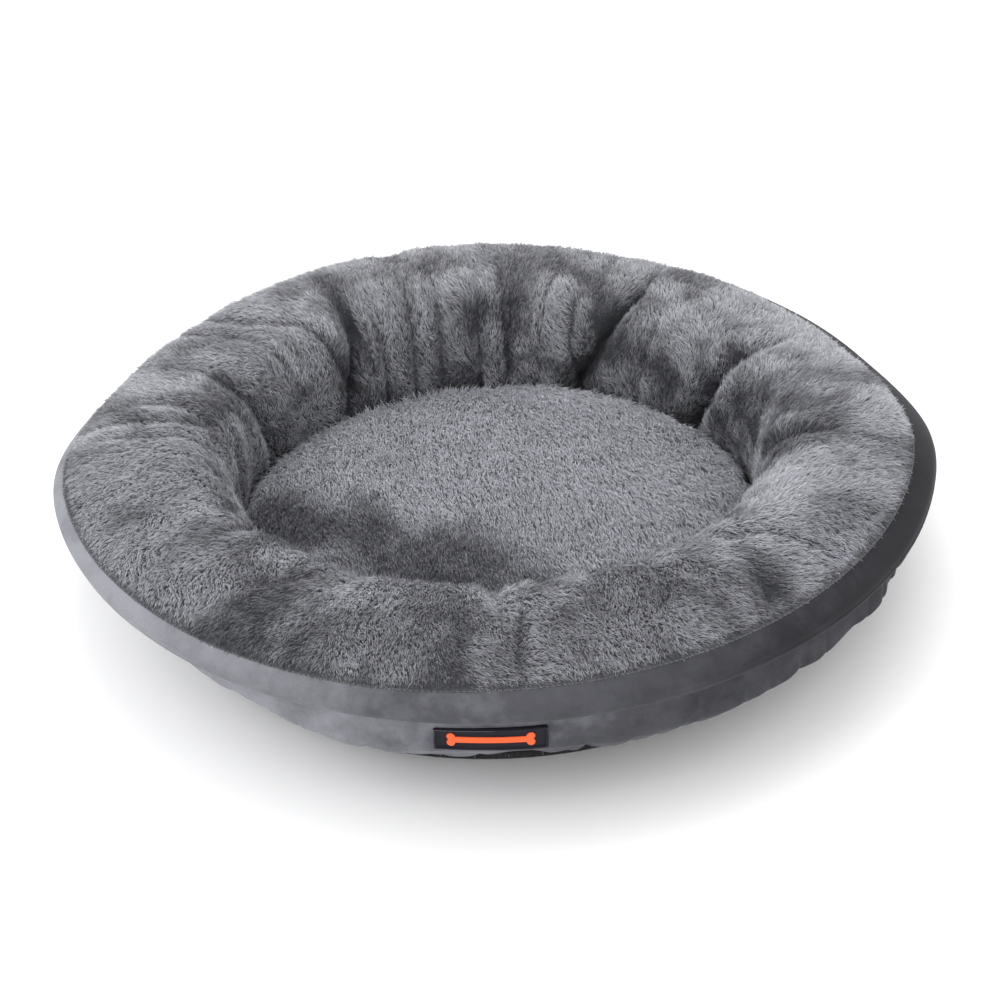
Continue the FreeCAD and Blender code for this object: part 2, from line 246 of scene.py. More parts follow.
def radius_of(points: np.ndarray) -> np.ndarray:
    """Give each point's distance from the bed's axis."""
    return np.hypot(points[..., 0], points[..., 1])


def outward_of(points: np.ndarray) -> np.ndarray:
    """Give the level direction from the bed's axis to each point."""
    return unit(points * [1, 1, 0])


def gap_between(turn: np.ndarray, other: np.ndarray) -> np.ndarray:
    """Give the signed shortest angle from other to turn, in radians."""
    return (turn - other + math.pi) % FULL_TURN - math.pi


# ---------------------------------------------------------------- mesh making


def new_mesh(name: str, points: np.ndarray, faces: Sequence[np.ndarray]) -> bpy.types.Object:
    """Make an object from points and arrays of faces.

    Args:
        name: The piece's name.
        points: Rows of x, y and z in metres.
        faces: Arrays of point numbers, each with one row per face.

    Returns:
        The new object, linked to the scene.
    """
    mesh = bpy.data.meshes.new(name)
    mesh.vertices.add(len(points))
    mesh.vertices.foreach_set("co", np.ascontiguousarray(points, np.float32).ravel())
    corners = np.concatenate([np.ravel(part) for part in faces]).astype(np.int32)
    sizes = np.concatenate([np.full(len(part), part.shape[1]) for part in faces]).astype(np.int32)
    starts = np.concatenate([[0], np.cumsum(sizes)[:-1]]).astype(np.int32)
    mesh.loops.add(len(corners))
    mesh.loops.foreach_set("vertex_index", corners)
    mesh.polygons.add(len(sizes))
    mesh.polygons.foreach_set("loop_start", starts)
    mesh.polygons.foreach_set("use_smooth", np.ones(len(sizes), bool))
    mesh.update(calc_edges=True)
    mesh.validate()
    made = bpy.data.objects.new(name, mesh)
    bpy.context.scene.collection.objects.link(made)
    return made


def read_rows(mesh: bpy.types.Mesh, what: str = "co") -> np.ndarray:
    """Read the points or the normals of a mesh as rows of three.

    Args:
        mesh: The mesh that is read.
        what: The vertices' value that is read, "co" or "normal".

    Returns:
        One row for each vertex.
    """
    values = np.zeros(len(mesh.vertices) * 3)
    mesh.vertices.foreach_get(what, values)
    return values.reshape(-1, 3)


def wrapped_grid(rows: int, columns: int, close_columns: bool) -> np.ndarray:
    """Number the quads of a grid whose rows close on themselves.

    Args:
        rows: How many rows of points there are, going round the bed.
        columns: How many points each row has.
        close_columns: Whether the last point of a row joins the first.

    Returns:
        One row of four point numbers for each quad.
    """
    last = columns if close_columns else columns - 1
    row, column = np.meshgrid(np.arange(rows), np.arange(last), indexing="ij")
    next_row = (row + 1) % rows
    next_column = (column + 1) % columns
    quads = [row * columns + column, next_row * columns + column]
    quads += [next_row * columns + next_column, row * columns + next_column]
    return np.stack([np.ravel(part) for part in quads], axis=1)


def fan(steps: int, columns: int, column: int, middle: int) -> np.ndarray:
    """Join one column of a wrapped grid to a middle point.

    Args:
        steps: How many rows the grid has.
        columns: How many points each row has.
        column: The column that is joined.
        middle: The middle point's number.

    Returns:
        One row of three point numbers for each triangle.
    """
    here = np.arange(steps)
    after = (here + 1) % steps
    return np.stack([after * columns + column, here * columns + column, 0 * here + middle], axis=1)


def copies(faces: Sequence[np.ndarray], count: int, size: int) -> list[np.ndarray]:
    """Repeat faces for a row of equal copies.

    Args:
        faces: Arrays of one copy's point numbers, each with one row per face.
        count: How many copies there are.
        size: How many points one copy has.

    Returns:
        The faces of all the copies.
    """
    shift = np.arange(count)[:, None, None] * size
    return [(part[None] + shift).reshape(-1, part.shape[1]) for part in faces]


def ring_piece(name: str, loops: np.ndarray) -> bpy.types.Object:
    """Make a closed ring from one closed cross-section per step round the bed.

    Args:
        name: The piece's name.
        loops: An array of steps by points by three.

    Returns:
        The new object.
    """
    steps, count = loops.shape[:2]
    return new_mesh(name, loops.reshape(-1, 3), [wrapped_grid(steps, count, True)])


def place_round(turn: np.ndarray, radius: np.ndarray, height: np.ndarray) -> np.ndarray:
    """Turn angle, radius and height arrays into points."""
    return np.stack([np.cos(turn) * radius, np.sin(turn) * radius, height + 0 * turn], axis=-1)


def grid_normals(points: np.ndarray) -> np.ndarray:
    """Give the outward normals of a grid that closes round the bed.

    Args:
        points: Steps by columns by three, each row running up the side or inwards over the top.

    Returns:
        Unit normals in the same shape.
    """
    along_turn = np.roll(points, -1, axis=0) - np.roll(points, 1, axis=0)
    along_line = np.gradient(points, axis=1)
    return unit(np.cross(along_turn, along_line))


def dress(piece: bpy.types.Object, body: str, finish: bpy.types.Material) -> None:
    """Put a piece on its body and give it its finish.

    Args:
        piece: The piece.
        body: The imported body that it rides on.
        finish: The material.
    """
    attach(piece, body)
    piece.data.materials.clear()
    piece.data.materials.append(finish)
    log.info("%s: %d points on %s", piece.name, len(piece.data.vertices), body)


# ---------------------------------------------------------------- finishes


class Nodes:
    """Short ways to add and join the nodes of one material."""

    def __init__(self, name: str) -> None:
        """Start a material that holds one Principled shader.

        Args:
            name: The material's name.
        """
        self.material = bpy.data.materials.new(name)
        self.material.use_nodes = True
        self.tree = self.material.node_tree
        self.shader = self.tree.nodes["Principled BSDF"]

    def add(self, kind: str, **values: object) -> bpy.types.Node:
        """Add a node.

        Args:
            kind: The node's type, without its ShaderNode prefix.
            **values: Properties, or sockets by name with underscores for spaces.

        Returns:
            The new node.
        """
        node = self.tree.nodes.new("ShaderNode" + kind)
        for name, value in values.items():
            if hasattr(node, name):
                setattr(node, name, value)
            else:
                node.inputs[name.replace("_", " ")].default_value = value
        return node

    def join(self, source: bpy.types.NodeSocket, target: bpy.types.NodeSocket) -> None:
        """Link one socket to another."""
        self.tree.links.new(source, target)

    def place(self) -> bpy.types.NodeSocket:
        """Give the place on the object, in metres."""
        return self.add("TexCoord").outputs["Object"]

    def noise(self, scale: float, detail: float, roughness: float = 0.55) -> bpy.types.NodeSocket:
        """Add noise over the object.

        Args:
            scale: Features per metre.
            detail: How many finer layers it has.
            roughness: How strong the finer layers are.

        Returns:
            The noise's factor.
        """
        node = self.add("TexNoise", Scale=scale, Detail=detail, Roughness=roughness)
        self.join(self.place(), node.inputs["Vector"])
        return node.outputs["Fac"]

    def ramp(
        self, factor: bpy.types.NodeSocket, stops: Sequence[tuple[float, Colour]]
    ) -> bpy.types.NodeSocket:
        """Turn a factor into colours.

        Args:
            factor: The socket that drives the ramp.
            stops: Places from 0 to 1 with their colours.

        Returns:
            The colour socket.
        """
        node = self.add("ValToRGB")
        points = node.color_ramp.elements
        while len(points) < len(stops):
            points.new(0.5)
        for point, (where, colour) in zip(points, stops):
            point.position = where
            point.color = (*colour, 1.0)
        self.join(factor, node.inputs["Fac"])
        return node.outputs["Color"]

    def blend(self, low: Colour, high: Colour, factor: bpy.types.NodeSocket) -> bpy.types.NodeSocket:
        """Blend two colours over the middle of a noise's range."""
        return self.ramp(factor, [(0.3, low), (0.7, high)])

    def multiply(
        self, first: bpy.types.NodeSocket, second: bpy.types.NodeSocket
    ) -> bpy.types.NodeSocket:
        """Multiply two colours.

        Args:
            first: The colour that is darkened.
            second: The colour that darkens it.

        Returns:
            The product.
        """
        node = self.add("Mix", data_type="RGBA", blend_type="MULTIPLY")
        node.inputs[0].default_value = 1.0
        self.join(first, node.inputs[6])
        self.join(second, node.inputs[7])
        return node.outputs[2]

    def scale(
        self, source: bpy.types.NodeSocket, factor: float, added: float | bpy.types.NodeSocket
    ) -> bpy.types.NodeSocket:
        """Multiply a socket by a number, and add a number or another socket.

        Args:
            source: The socket that is multiplied.
            factor: What it is multiplied by.
            added: What is added afterwards.

        Returns:
            The result.
        """
        node = self.add("Math", operation="MULTIPLY_ADD")
        self.join(source, node.inputs[0])
        node.inputs[1].default_value = factor
        if isinstance(added, bpy.types.NodeSocket):
            self.join(added, node.inputs[2])
        else:
            node.inputs[2].default_value = added
        return node.outputs[0]

    def paint(self, colour: bpy.types.NodeSocket) -> None:
        """Give the shader its colour."""
        self.join(colour, self.shader.inputs["Base Color"])

    def bump(self, height: bpy.types.NodeSocket, depth: float, strength: float) -> None:
        """Raise the surface by a height.

        Args:
            height: The socket that gives the height from 0 to 1.
            depth: The height of a full step, in metres.
            strength: How much of it shows.
        """
        node = self.add("Bump", Strength=strength, Distance=depth)
        self.join(height, node.inputs["Height"])
        self.join(node.outputs["Normal"], self.shader.inputs["Normal"])

    def set(self, **values: object) -> None:
        """Set the shader's own sockets, with underscores for spaces."""
        for name, value in values.items():
            self.shader.inputs[name.replace("_", " ")].default_value = value


@dataclass(frozen=True)
class PlushFinish:
    """Long soft pile: brushed patches, painted shade that darkens the roots, a faint sheen."""

    name: str = "plush_pile"
    dark: Colour = (0.065, 0.067, 0.078)
    light: Colour = (0.72, 0.73, 0.79)
    # Painted shade: how dark a strand is at its root, against its tip.
    root: float = 0.34
    flecks_per_metre: float = 220.0
    fleck_share: float = 0.16

    def build(self) -> bpy.types.Material:
        """Make the material.

        Returns:
            The material.
        """
        nodes = Nodes(self.name)
        # Each strand's tone, with the painted shade and painted light worked out in Pile.shade.
        tint_and_painted_shade = nodes.add("Attribute", attribute_name="tint_and_painted_shade", attribute_type="GEOMETRY")
        flecks = nodes.noise(self.flecks_per_metre, 3.0, 0.6)
        mixed = nodes.scale(flecks, self.fleck_share, tint_and_painted_shade.outputs["Fac"])
        shade = nodes.ramp(mixed, [(0.08, self.dark), (1.08, self.light)])
        along = nodes.add("Attribute", attribute_name="along", attribute_type="GEOMETRY")
        # Painted shade deep in the pile, darkest at the root.
        painted_root_shade = nodes.ramp(along.outputs["Fac"], [(0.0, (self.root,) * 3), (0.8, (1.0,) * 3)])
        nodes.paint(nodes.multiply(shade, painted_root_shade))
        nodes.set(Roughness=0.62, Sheen_Weight=0.25, Sheen_Roughness=0.4, Specular_IOR_Level=0.25)
        return nodes.material


@dataclass(frozen=True)
class BackingFinish:
    """Knitted ground of the plush, seen only between strands, kept dark as painted shade between them."""

    name: str = "plush_ground"
    dark: Colour = (0.035, 0.036, 0.041)
    light: Colour = (0.075, 0.077, 0.086)

    def build(self) -> bpy.types.Material:
        """Make the material.

        Returns:
            The material.
        """
        nodes = Nodes(self.name)
        nodes.paint(nodes.blend(self.dark, self.light, nodes.noise(600.0, 3.0)))
        nodes.bump(nodes.noise(900.0, 2.0), 0.6 * MM, 0.6)
        nodes.set(Roughness=0.9)
        return nodes.material


@dataclass(frozen=True)
class VelvetFinish:
    """Short dense velvet: brushed clouds, a fine nap, a bright edge where it turns away, painted light that
    makes it lighter towards the left and painted shade that makes it darker towards the back.
    """

    name: str = "velvet"
    dark: Colour = (0.022, 0.022, 0.026)
    middle: Colour = (0.078, 0.079, 0.090)
    light: Colour = (0.27, 0.275, 0.303)
    # Painted light: the colour grows lighter towards the left by this much per metre.
    painted_side_light_per_metre: float = -1.6
    lift: float = 0.0
    cloud: float = 0.75
    # Painted shade: the colour grows darker towards the back by this much.
    behind: float = -0.22

    def build(self) -> bpy.types.Material:
        """Make the material.

        Returns:
            The material.
        """
        nodes = Nodes(self.name)
        apart = nodes.add("SeparateXYZ")
        nodes.join(nodes.place(), apart.inputs[0])
        clouds = nodes.scale(
            nodes.noise(22.0, 5.0, 0.62), self.cloud, self.lift + 0.5 * (1 - self.cloud)
        )
        # Painted shade, darker towards the back.
        behind = nodes.add(
            "MapRange", clamp=True, From_Min=-0.24, From_Max=0.02, To_Min=0.0, To_Max=self.behind
        )
        nodes.join(apart.outputs["Y"], behind.inputs["Value"])
        shaded = nodes.add("Math", operation="ADD")
        nodes.join(clouds, shaded.inputs[0])
        nodes.join(behind.outputs[0], shaded.inputs[1])
        # Painted light, lighter towards the left.
        with_painted_side_light = nodes.scale(apart.outputs["X"], self.painted_side_light_per_metre, shaded.outputs[0])
        deepest = tuple(part * 0.65 for part in self.dark)
        stops = [(0.0, deepest), (0.28, self.dark), (0.616, self.middle), (0.96, self.light)]
        colour = nodes.ramp(nodes.scale(with_painted_side_light, 0.8, 0.2), stops)
        nap = nodes.noise(1500.0, 2.0, 0.7)
        fleck = nodes.ramp(nap, [(0.25, (0.72,) * 3), (0.75, (1.0,) * 3)])
        nodes.paint(nodes.multiply(colour, fleck))
        nodes.bump(nap, 0.35 * MM, 0.35)
        nodes.set(Roughness=0.88, Sheen_Weight=0.10, Sheen_Roughness=0.35, Specular_IOR_Level=0.2)
        nodes.set(Sheen_Tint=(0.86, 0.87, 0.95, 1.0))
        return nodes.material


@dataclass(frozen=True)
class WovenFinish:
    """Plain woven cloth, its threads drawn by two crossed waves."""

    name: str
    dark: Colour
    light: Colour
    threads_per_metre: float = 1400.0
    roughness: float = 0.8

    def build(self) -> bpy.types.Material:
        """Make the material.

        Returns:
            The material.
        """
        nodes = Nodes(self.name)
        waves = []
        for direction in ("X", "Y"):
            wave = nodes.add("TexWave", wave_type="BANDS", bands_direction=direction, Distortion=0.6)
            wave.inputs["Scale"].default_value = self.threads_per_metre / WAVES_PER_SCALE
            nodes.join(nodes.place(), wave.inputs["Vector"])
            waves.append(wave.outputs["Fac"])
        weave = nodes.add("Math", operation="MULTIPLY")
        nodes.join(waves[0], weave.inputs[0])
        nodes.join(waves[1], weave.inputs[1])
        wear = nodes.blend((0.8,) * 3, (1.0,) * 3, nodes.noise(30.0, 4.0))
        colour = nodes.ramp(weave.outputs[0], [(0.05, self.dark), (0.7, self.light)])
        nodes.paint(nodes.multiply(colour, wear))
        nodes.bump(weave.outputs[0], 0.25 * MM, 0.5)
        nodes.set(Roughness=self.roughness, Sheen_Weight=0.1)
        return nodes.material


@dataclass(frozen=True)
class RubberFinish:
    """Moulded rubber with a fine grain and slightly uneven gloss."""

    name: str
    colour: Colour
    gloss: float = 0.5
    uneven: float = 0.06

    def build(self) -> bpy.types.Material:
        """Make the material.

        Returns:
            The material.
        """
        nodes = Nodes(self.name)
        grain = nodes.noise(2200.0, 3.0)
        low = tuple(part * 0.8 for part in self.colour)
        nodes.paint(nodes.blend(low, self.colour, grain))
        smoother, rougher = ((self.gloss + side * self.uneven,) * 3 for side in (-1, 1))
        rough = nodes.blend(smoother, rougher, nodes.noise(160.0, 3.0))
        nodes.join(rough, nodes.shader.inputs["Roughness"])
        nodes.set(Specular_IOR_Level=0.22)
        nodes.bump(grain, 0.12 * MM, 0.4)
        return nodes.material


@dataclass(frozen=True)
class ThreadFinish:
    """Twisted sewing thread."""

    name: str
    colour: Colour

    def build(self) -> bpy.types.Material:
        """Make the material.

        Returns:
            The material.
        """
        nodes = Nodes(self.name)
        twist = nodes.noise(3000.0, 2.0)
        low = tuple(part * 0.6 for part in self.colour)
        nodes.paint(nodes.blend(low, self.colour, twist))
        nodes.bump(twist, 0.2 * MM, 0.6)
        nodes.set(Roughness=0.55, Sheen_Weight=0.15)
        return nodes.material


@dataclass(frozen=True)
class FibreFinish:
    """Loose white filling."""

    name: str = "fibre"
    dark: Colour = (0.55, 0.55, 0.53)
    light: Colour = (0.86, 0.86, 0.84)

    def build(self) -> bpy.types.Material:
        """Make the material.

        Returns:
            The material.
        """
        nodes = Nodes(self.name)
        fluff = nodes.noise(120.0, 6.0, 0.7)
        nodes.paint(nodes.blend(self.dark, self.light, fluff))
        nodes.bump(fluff, 3.0 * MM, 0.7)
        nodes.set(Roughness=0.95, Sheen_Weight=0.2)
        return nodes.material


# ---------------------------------------------------------------- the sewn shell's shape


@dataclass(frozen=True)
class Gather:
    """A tuck where the plush is drawn in: its place, slant, depth and width."""

    top: float
    foot: float
    depth: float
    width: float
    reach: float = 0.36


MAIN_DEPTH = 25.0 * MM
MAIN_WIDTH = 7.5 * MM
SMALL_DEPTH = 10.0 * MM
SMALL_WIDTH = 4.5 * MM

# Angles in degrees, anticlockwise from the bed's right side seen from above.
GATHERS = (
    Gather(121, 128, MAIN_DEPTH, MAIN_WIDTH, 0.30),
    Gather(118, 118, SMALL_DEPTH, SMALL_WIDTH),
    Gather(109, 110, SMALL_DEPTH, SMALL_WIDTH),
    Gather(102, 103, SMALL_DEPTH, SMALL_WIDTH),
    Gather(93, 93, SMALL_DEPTH, SMALL_WIDTH),
    Gather(85, 86, SMALL_DEPTH, SMALL_WIDTH),
    Gather(59, 69, MAIN_DEPTH, MAIN_WIDTH, 0.27),
    Gather(27, 36, MAIN_DEPTH, MAIN_WIDTH, 0.33),
    Gather(-10, -1, MAIN_DEPTH * 0.8, MAIN_WIDTH, 0.40),
    Gather(-34, -30, MAIN_DEPTH * 0.6, MAIN_WIDTH, 0.55),
    Gather(-62, -66, MAIN_DEPTH * 0.6, MAIN_WIDTH, 0.50),
    Gather(-91, -93, MAIN_DEPTH * 0.28, MAIN_WIDTH, 0.30),
    Gather(-118, -112, MAIN_DEPTH * 0.5, MAIN_WIDTH, 0.45),
    Gather(-143, -148, MAIN_DEPTH * 0.7, MAIN_WIDTH, 0.42),
    Gather(170, 178, MAIN_DEPTH, MAIN_WIDTH, 0.30),
    Gather(157, 152, MAIN_DEPTH * 0.8, MAIN_WIDTH, 0.42),
)


@dataclass(frozen=True)
class ShellShape:
    """The lines of the sewn shell, and how the soft rim sags and leans round the bed."""

    layout: Layout
    roll: float = 46.0 * MM
    foot_flare: float = 5.0 * MM
    pile_room: float = 3.0 * MM
    back_dip: float = 28.0 * MM
    side_lean: float = 6.0 * MM
    side_ease: float = 12.0 * MM
    back_ease: float = -8.0 * MM
    back_sag: float = 11.0 * MM
    hollows: tuple[tuple[float, float, float], ...] = (
        (32.0, 34.0, 16.0 * MM),
        (158.0, 28.0, 13.0 * MM),
        (66.0, 22.0, 6.0 * MM),
    )
    lump: float = 4.5 * MM
    fuzz: float = 1.0 * MM
    wrinkle: float = 6.0 * MM
    seam_wander: float = 1.2 * MM
    line_lengths: tuple[float, float, float] = (0.088, 0.072, 0.080)
    crest_bow: float = 3.6
    foot_hollow: float = 3.0 * MM
    tuck_in: float = 13.0 * MM
    tuck_up: float = 8.0 * MM
    droop: float = 1.5 * MM
    wide_fold: float = 6.5 * MM
    narrow_fold: float = 2.2 * MM

    def dip(self, turn: np.ndarray) -> np.ndarray:
        """Give how far the soft rim sags, all of it behind the cushion's middle."""
        return self.back_dip * smooth(np.sin(turn), -0.28, 0.40)

    def seam(self, turn: np.ndarray) -> tuple[np.ndarray, np.ndarray]:
        """Give the radius and height of the rim seam.

        Args:
            turn: Angles in radians.

        Returns:
            The seam's radii and heights in metres, in the angles' shape.
        """
        radius = self.layout.seam_radius - self.side_lean * np.cos(turn) - 0.25 * self.dip(turn)
        height = self.layout.seam_height - self.dip(turn)
        wander = self.seam_wander * round_noise(turn, self.layout.seam_radius, 0.07, Seed.SEAM)
        return radius, height + wander

    def sag(self, turn: np.ndarray) -> np.ndarray:
        """Give how far the crest has settled: a little at the back, more beside it.

        Args:
            turn: Angles in radians.

        Returns:
            Distances down in metres, in the angles' shape.
        """
        total = self.back_sag * smooth(np.sin(turn), -0.1, 0.9)
        for middle, width, depth in self.hollows:
            away = gap_between(turn, np.radians(middle)) / math.radians(width)
            total = total + depth * np.exp(-(away**2))
        return total

    def well_ease(self, turn: np.ndarray) -> np.ndarray:
        """Give how far the well is pushed wider at the sides and narrower at the back."""
        return self.side_ease * np.cos(turn) ** 2 + self.back_ease * smooth(np.sin(turn), 0.2, 1.0)

    def bolster(self, turn: np.ndarray, share: np.ndarray) -> np.ndarray:
        """Give the plush's smooth line, from the rim seam over the crest and down to the floor.

        Args:
            turn: Angles in radians, as a column.
            share: Numbers from 0 at the seam to 1 at the floor, as a row.

        Returns:
            Points as an array of angles by shares by three.
        """
        seam_r, seam_z = self.seam(turn)
        crest_r = self.layout.well_radius + self.well_ease(turn) + self.roll
        crest_z = self.layout.crest_height - self.pile_room - self.sag(turn)
        lengths = np.array(self.line_lengths)
        ends = np.cumsum(lengths) / lengths.sum()
        first = np.clip(share / ends[0], 0, 1)
        second = np.clip((share - ends[0]) / (ends[1] - ends[0]), 0, 1)
        third = np.clip((share - ends[1]) / (1 - ends[1]), 0, 1)
        bow = np.abs(1 - first) ** self.crest_bow
        radius = seam_r + (crest_r - seam_r) * first
        height = crest_z - (crest_z - seam_z) * bow
        angle = second * math.pi / 2
        radius = radius - self.roll * np.sin(angle)
        height = height - self.roll * (1 - np.cos(angle))
        drop = crest_z - self.roll - self.layout.floor_height
        radius = radius + self.foot_flare * third**2 - self.foot_hollow * np.sin(math.pi * third)
        height = height - drop * third
        return place_round(turn + 0 * radius, radius, height)

    def tucks(self, points: np.ndarray, share: np.ndarray) -> tuple[np.ndarray, np.ndarray]:
        """Give how far each point is drawn in (negative) or puffed out by the gathers.

        Args:
            points: The smooth line's points, angles by shares by three.
            share: The shares that they were made at, as a row.

        Returns:
            Distances along the outward normal in metres, and how deep in a gather each point is.
        """
        turn = turn_of(points)
        radius = radius_of(points)
        moved = np.zeros(turn.shape)
        inside = np.zeros(turn.shape)
        for gather in GATHERS:
            slant = smooth(share, 0.3, 1.0)
            middle = np.radians(gather.top + (gather.foot - gather.top) * slant)
            across = gap_between(turn, middle) * radius / gather.width
            window = smooth(share, gather.reach - 0.16, gather.reach + 0.22)
            valley = np.exp(-np.abs(across) ** 1.25)
            shoulder = np.exp(-(((np.abs(across) - 2.4) / 1.4) ** 2))
            moved += gather.depth * window * (0.18 * shoulder - valley)
            inside = np.maximum(inside, window * valley * gather.depth / MAIN_DEPTH)
        return moved, inside

    def wrinkles(self, points: np.ndarray, share: np.ndarray) -> np.ndarray:
        """Give how deep each point lies in the small folds that run over the roll, from 0 to 1.

        Args:
            points: The smooth line's points, angles by shares by three.
            share: The shares that they were made at, as a row.

        Returns:
            One number for each point.
        """
        flat = points.reshape(-1, 3)
        turn = turn_of(flat)
        along = np.broadcast_to(share, points.shape[:2]).ravel() * 0.05
        line = np.stack([np.cos(turn) * 0.28, np.sin(turn) * 0.28, along], axis=1)
        fold = np.exp(-((lattice_noise(line, 0.040, Seed.WRINKLES) / 0.10) ** 2))
        where = smooth(lattice_noise(flat, 0.085, Seed.WRINKLED_PLACES), -0.25, 0.35)
        where = np.maximum(where, 0.8 * smooth(-flat[:, 1], 0.12, 0.24))
        return (fold * where).reshape(points.shape[:2])

    def skin(
        self, turn: np.ndarray, share: np.ndarray, sunk: float = 0.0
    ) -> tuple[np.ndarray, np.ndarray]:
        """Give the plush's real, lumpy surface.

        Args:
            turn: Angles in radians, as a column.
            share: Numbers from 0 at the seam to 1 at the floor, as a row.
            sunk: How far under the surface the points lie, in metres.

        Returns:
            Points as an array of angles by shares by three, and how deep in a fold each lies.
        """
        points = self.bolster(turn, share)
        normals = grid_normals(points)
        flat = points.reshape(-1, 3)
        ends = smooth(share, 0.0, 0.12) * (1 - 0.7 * smooth(share, 0.93, 1.0))
        lumps = self.lump * cloudy(flat, 0.095, Seed.LUMPS).reshape(points.shape[:2])
        fine = self.fuzz * cloudy(flat, 0.016, Seed.FUZZ).reshape(points.shape[:2])
        drawn, inside = self.tucks(points, share)
        fold = self.wrinkles(points, share)
        moved = drawn + lumps + fine - self.wrinkle * fold
        deep = np.clip(inside + 0.55 * fold, 0, 1) * ends
        return points + normals * (moved * ends - sunk)[..., None], deep

    def left(self, turn: np.ndarray) -> np.ndarray:
        """Give 1 on the bed's left side and 0 elsewhere, where the velvet is drawn in tighter."""
        return smooth(-np.cos(turn), 0.35, 0.80)

    def panel(self, turn: np.ndarray, share: np.ndarray) -> np.ndarray:
        """Give the velvet side's line, from the hem to the rim seam.

        Args:
            turn: Angles in radians, as a column.
            share: Numbers from 0 at the foot to 1 at the seam, as a row.

        Returns:
            Points as an array of angles by shares by three.
        """
        size = self.layout
        seam_r, _ = self.seam(turn)
        dip = self.dip(turn)
        foot_r = size.base_radius - 1.7 * MM
        stops = np.array([0.0, 0.05, 0.52, 0.62, 0.86, 1.0])
        radii = [foot_r, foot_r, size.fold_radius - 25 * MM, size.fold_radius - 14 * MM]
        radii += [size.fold_radius - 9.8 * MM, size.seam_radius - 5 * MM]
        heights = [1.7 * MM, size.hem_height, size.fold_height - 44 * MM, size.fold_height - 33 * MM]
        heights += [size.fold_height - 1 * MM, size.seam_height - 3.5 * MM]
        radius = np.interp(share, stops, radii) + (seam_r - size.seam_radius) * smooth(share, 0.6, 1.0)
        height = np.interp(share, stops, heights) - dip * smooth(share, 0.1, 0.9)
        tuck = self.left(turn) * smooth(share, 0.05, 0.45)
        radius = radius - self.tuck_in * tuck * (1 - smooth(share, 0.75, 1.0))
        height = height + self.tuck_up * tuck * (1 - smooth(share, 0.60, 0.80))
        droop = self.droop * round_noise(turn, size.base_radius, 0.022, Seed.DROOP)
        height = height + droop * smooth(share, 0.02, 0.05) * (1 - smooth(share, 0.05, 0.3))
        return place_round(turn + 0 * radius, radius, height)

    def folds(self, turn: np.ndarray, share: np.ndarray) -> np.ndarray:
        """Give how far the velvet side is puffed out or drawn in by the gathers at its foot.

        Args:
            turn: Angles in radians, as a column.
            share: Numbers from 0 at the foot to 1 at the seam, as a row.

        Returns:
            Distances along the outward normal, in metres.
        """
        radius = self.layout.fold_radius
        slanted = turn + 0.06 * share * round_noise(turn, radius, 0.06, Seed.SLANT)
        wide = round_noise(slanted, radius, 0.050, Seed.WIDE_FOLDS)
        narrow = round_noise(slanted, radius, 0.017, Seed.NARROW_FOLDS)
        ridged = self.wide_fold * (0.52 - np.exp(-np.abs(wide) / 0.22))
        ridged = ridged + self.narrow_fold * (0.50 - np.exp(-np.abs(narrow) / 0.30))
        fade = smooth(share, 0.0, 0.12) * (1 - 0.8 * smooth(share, 0.5, 0.9))
        front = np.abs(gap_between(turn, np.array(FRONT)))
        behind_label = 1 - (1 - smooth(front, 0.13, 0.24)) * smooth(share, 0.45, 0.62)
        tucked = 1 - 0.5 * self.left(turn)
        return ridged * fade * behind_label * tucked


# ---------------------------------------------------------------- cloth


@dataclass(frozen=True)
class Puff:
    """Blows a soft piece up by cloth simulation and keeps the shape."""

    pressure: float = 4.0
    frames: int = 20
    cap: float = 22.0 * MM
    stiffness: float = 12.0
    bending: float = 0.4

    def run(self, piece: bpy.types.Object, held: np.ndarray) -> None:
        """Simulate and apply.

        Args:
            piece: The mesh, which keeps its faces.
            held: How firmly each point is held, from 0 to 1.
        """
        mesh = piece.data
        before = read_rows(mesh)
        group = piece.vertex_groups.new(name="held")
        for level in np.unique(np.round(held, 1)):
            if level > 0:
                picked = np.flatnonzero(np.round(held, 1) == level).tolist()
                group.add(picked, float(level), "REPLACE")
        cloth = piece.modifiers.new("puff", "CLOTH")
        cloth.settings.quality = 5
        cloth.settings.mass = 0.3
        cloth.settings.tension_stiffness = self.stiffness
        cloth.settings.compression_stiffness = self.stiffness
        cloth.settings.shear_stiffness = self.stiffness / 2
        cloth.settings.bending_stiffness = self.bending
        cloth.settings.use_pressure = True
        cloth.settings.uniform_pressure_force = self.pressure
        cloth.settings.effector_weights.gravity = 0.0
        cloth.settings.vertex_group_mass = group.name
        cloth.point_cache.frame_start = 1
        cloth.point_cache.frame_end = self.frames
        scene = bpy.context.scene
        scene.frame_start, scene.frame_end = 1, self.frames
        for step in range(1, self.frames + 1):
            scene.frame_set(step)
        shaped = piece.evaluated_get(bpy.context.evaluated_depsgraph_get())
        moved = read_rows(shaped.data) - before
        length = np.linalg.norm(moved, axis=1, keepdims=True)
        moved *= np.minimum(1.0, self.cap / np.maximum(length, 1e-9))
        piece.modifiers.remove(cloth)
        piece.vertex_groups.remove(group)
        mesh.vertices.foreach_set("co", (before + moved).ravel())
        mesh.update()
        scene.frame_set(1)
        log.info("%s puffed by up to %.1f mm", piece.name, float(length.max()) / MM)


# ---------------------------------------------------------------- pile


# The padded roll's middle line, in metres, round which the pile's patches are laid.
ROLL_RADIUS = 0.255
ROLL_HEIGHT = 0.06
ROLL_GIRTH = 0.27
STRAND_POINTS = 7

# The ends of the line along which the cushion's pile is darkened, as painted shade beside the front-left
# wall.
PAINTED_SHADE_FROM = np.array([-0.170, -0.025])
PAINTED_SHADE_TO = np.array([0.022, -0.152])


class Side(Enum):
    """The two plush surfaces, which are combed and unwrapped in their own ways."""

    BOLSTER = "bolster"
    CUSHION = "cushion"


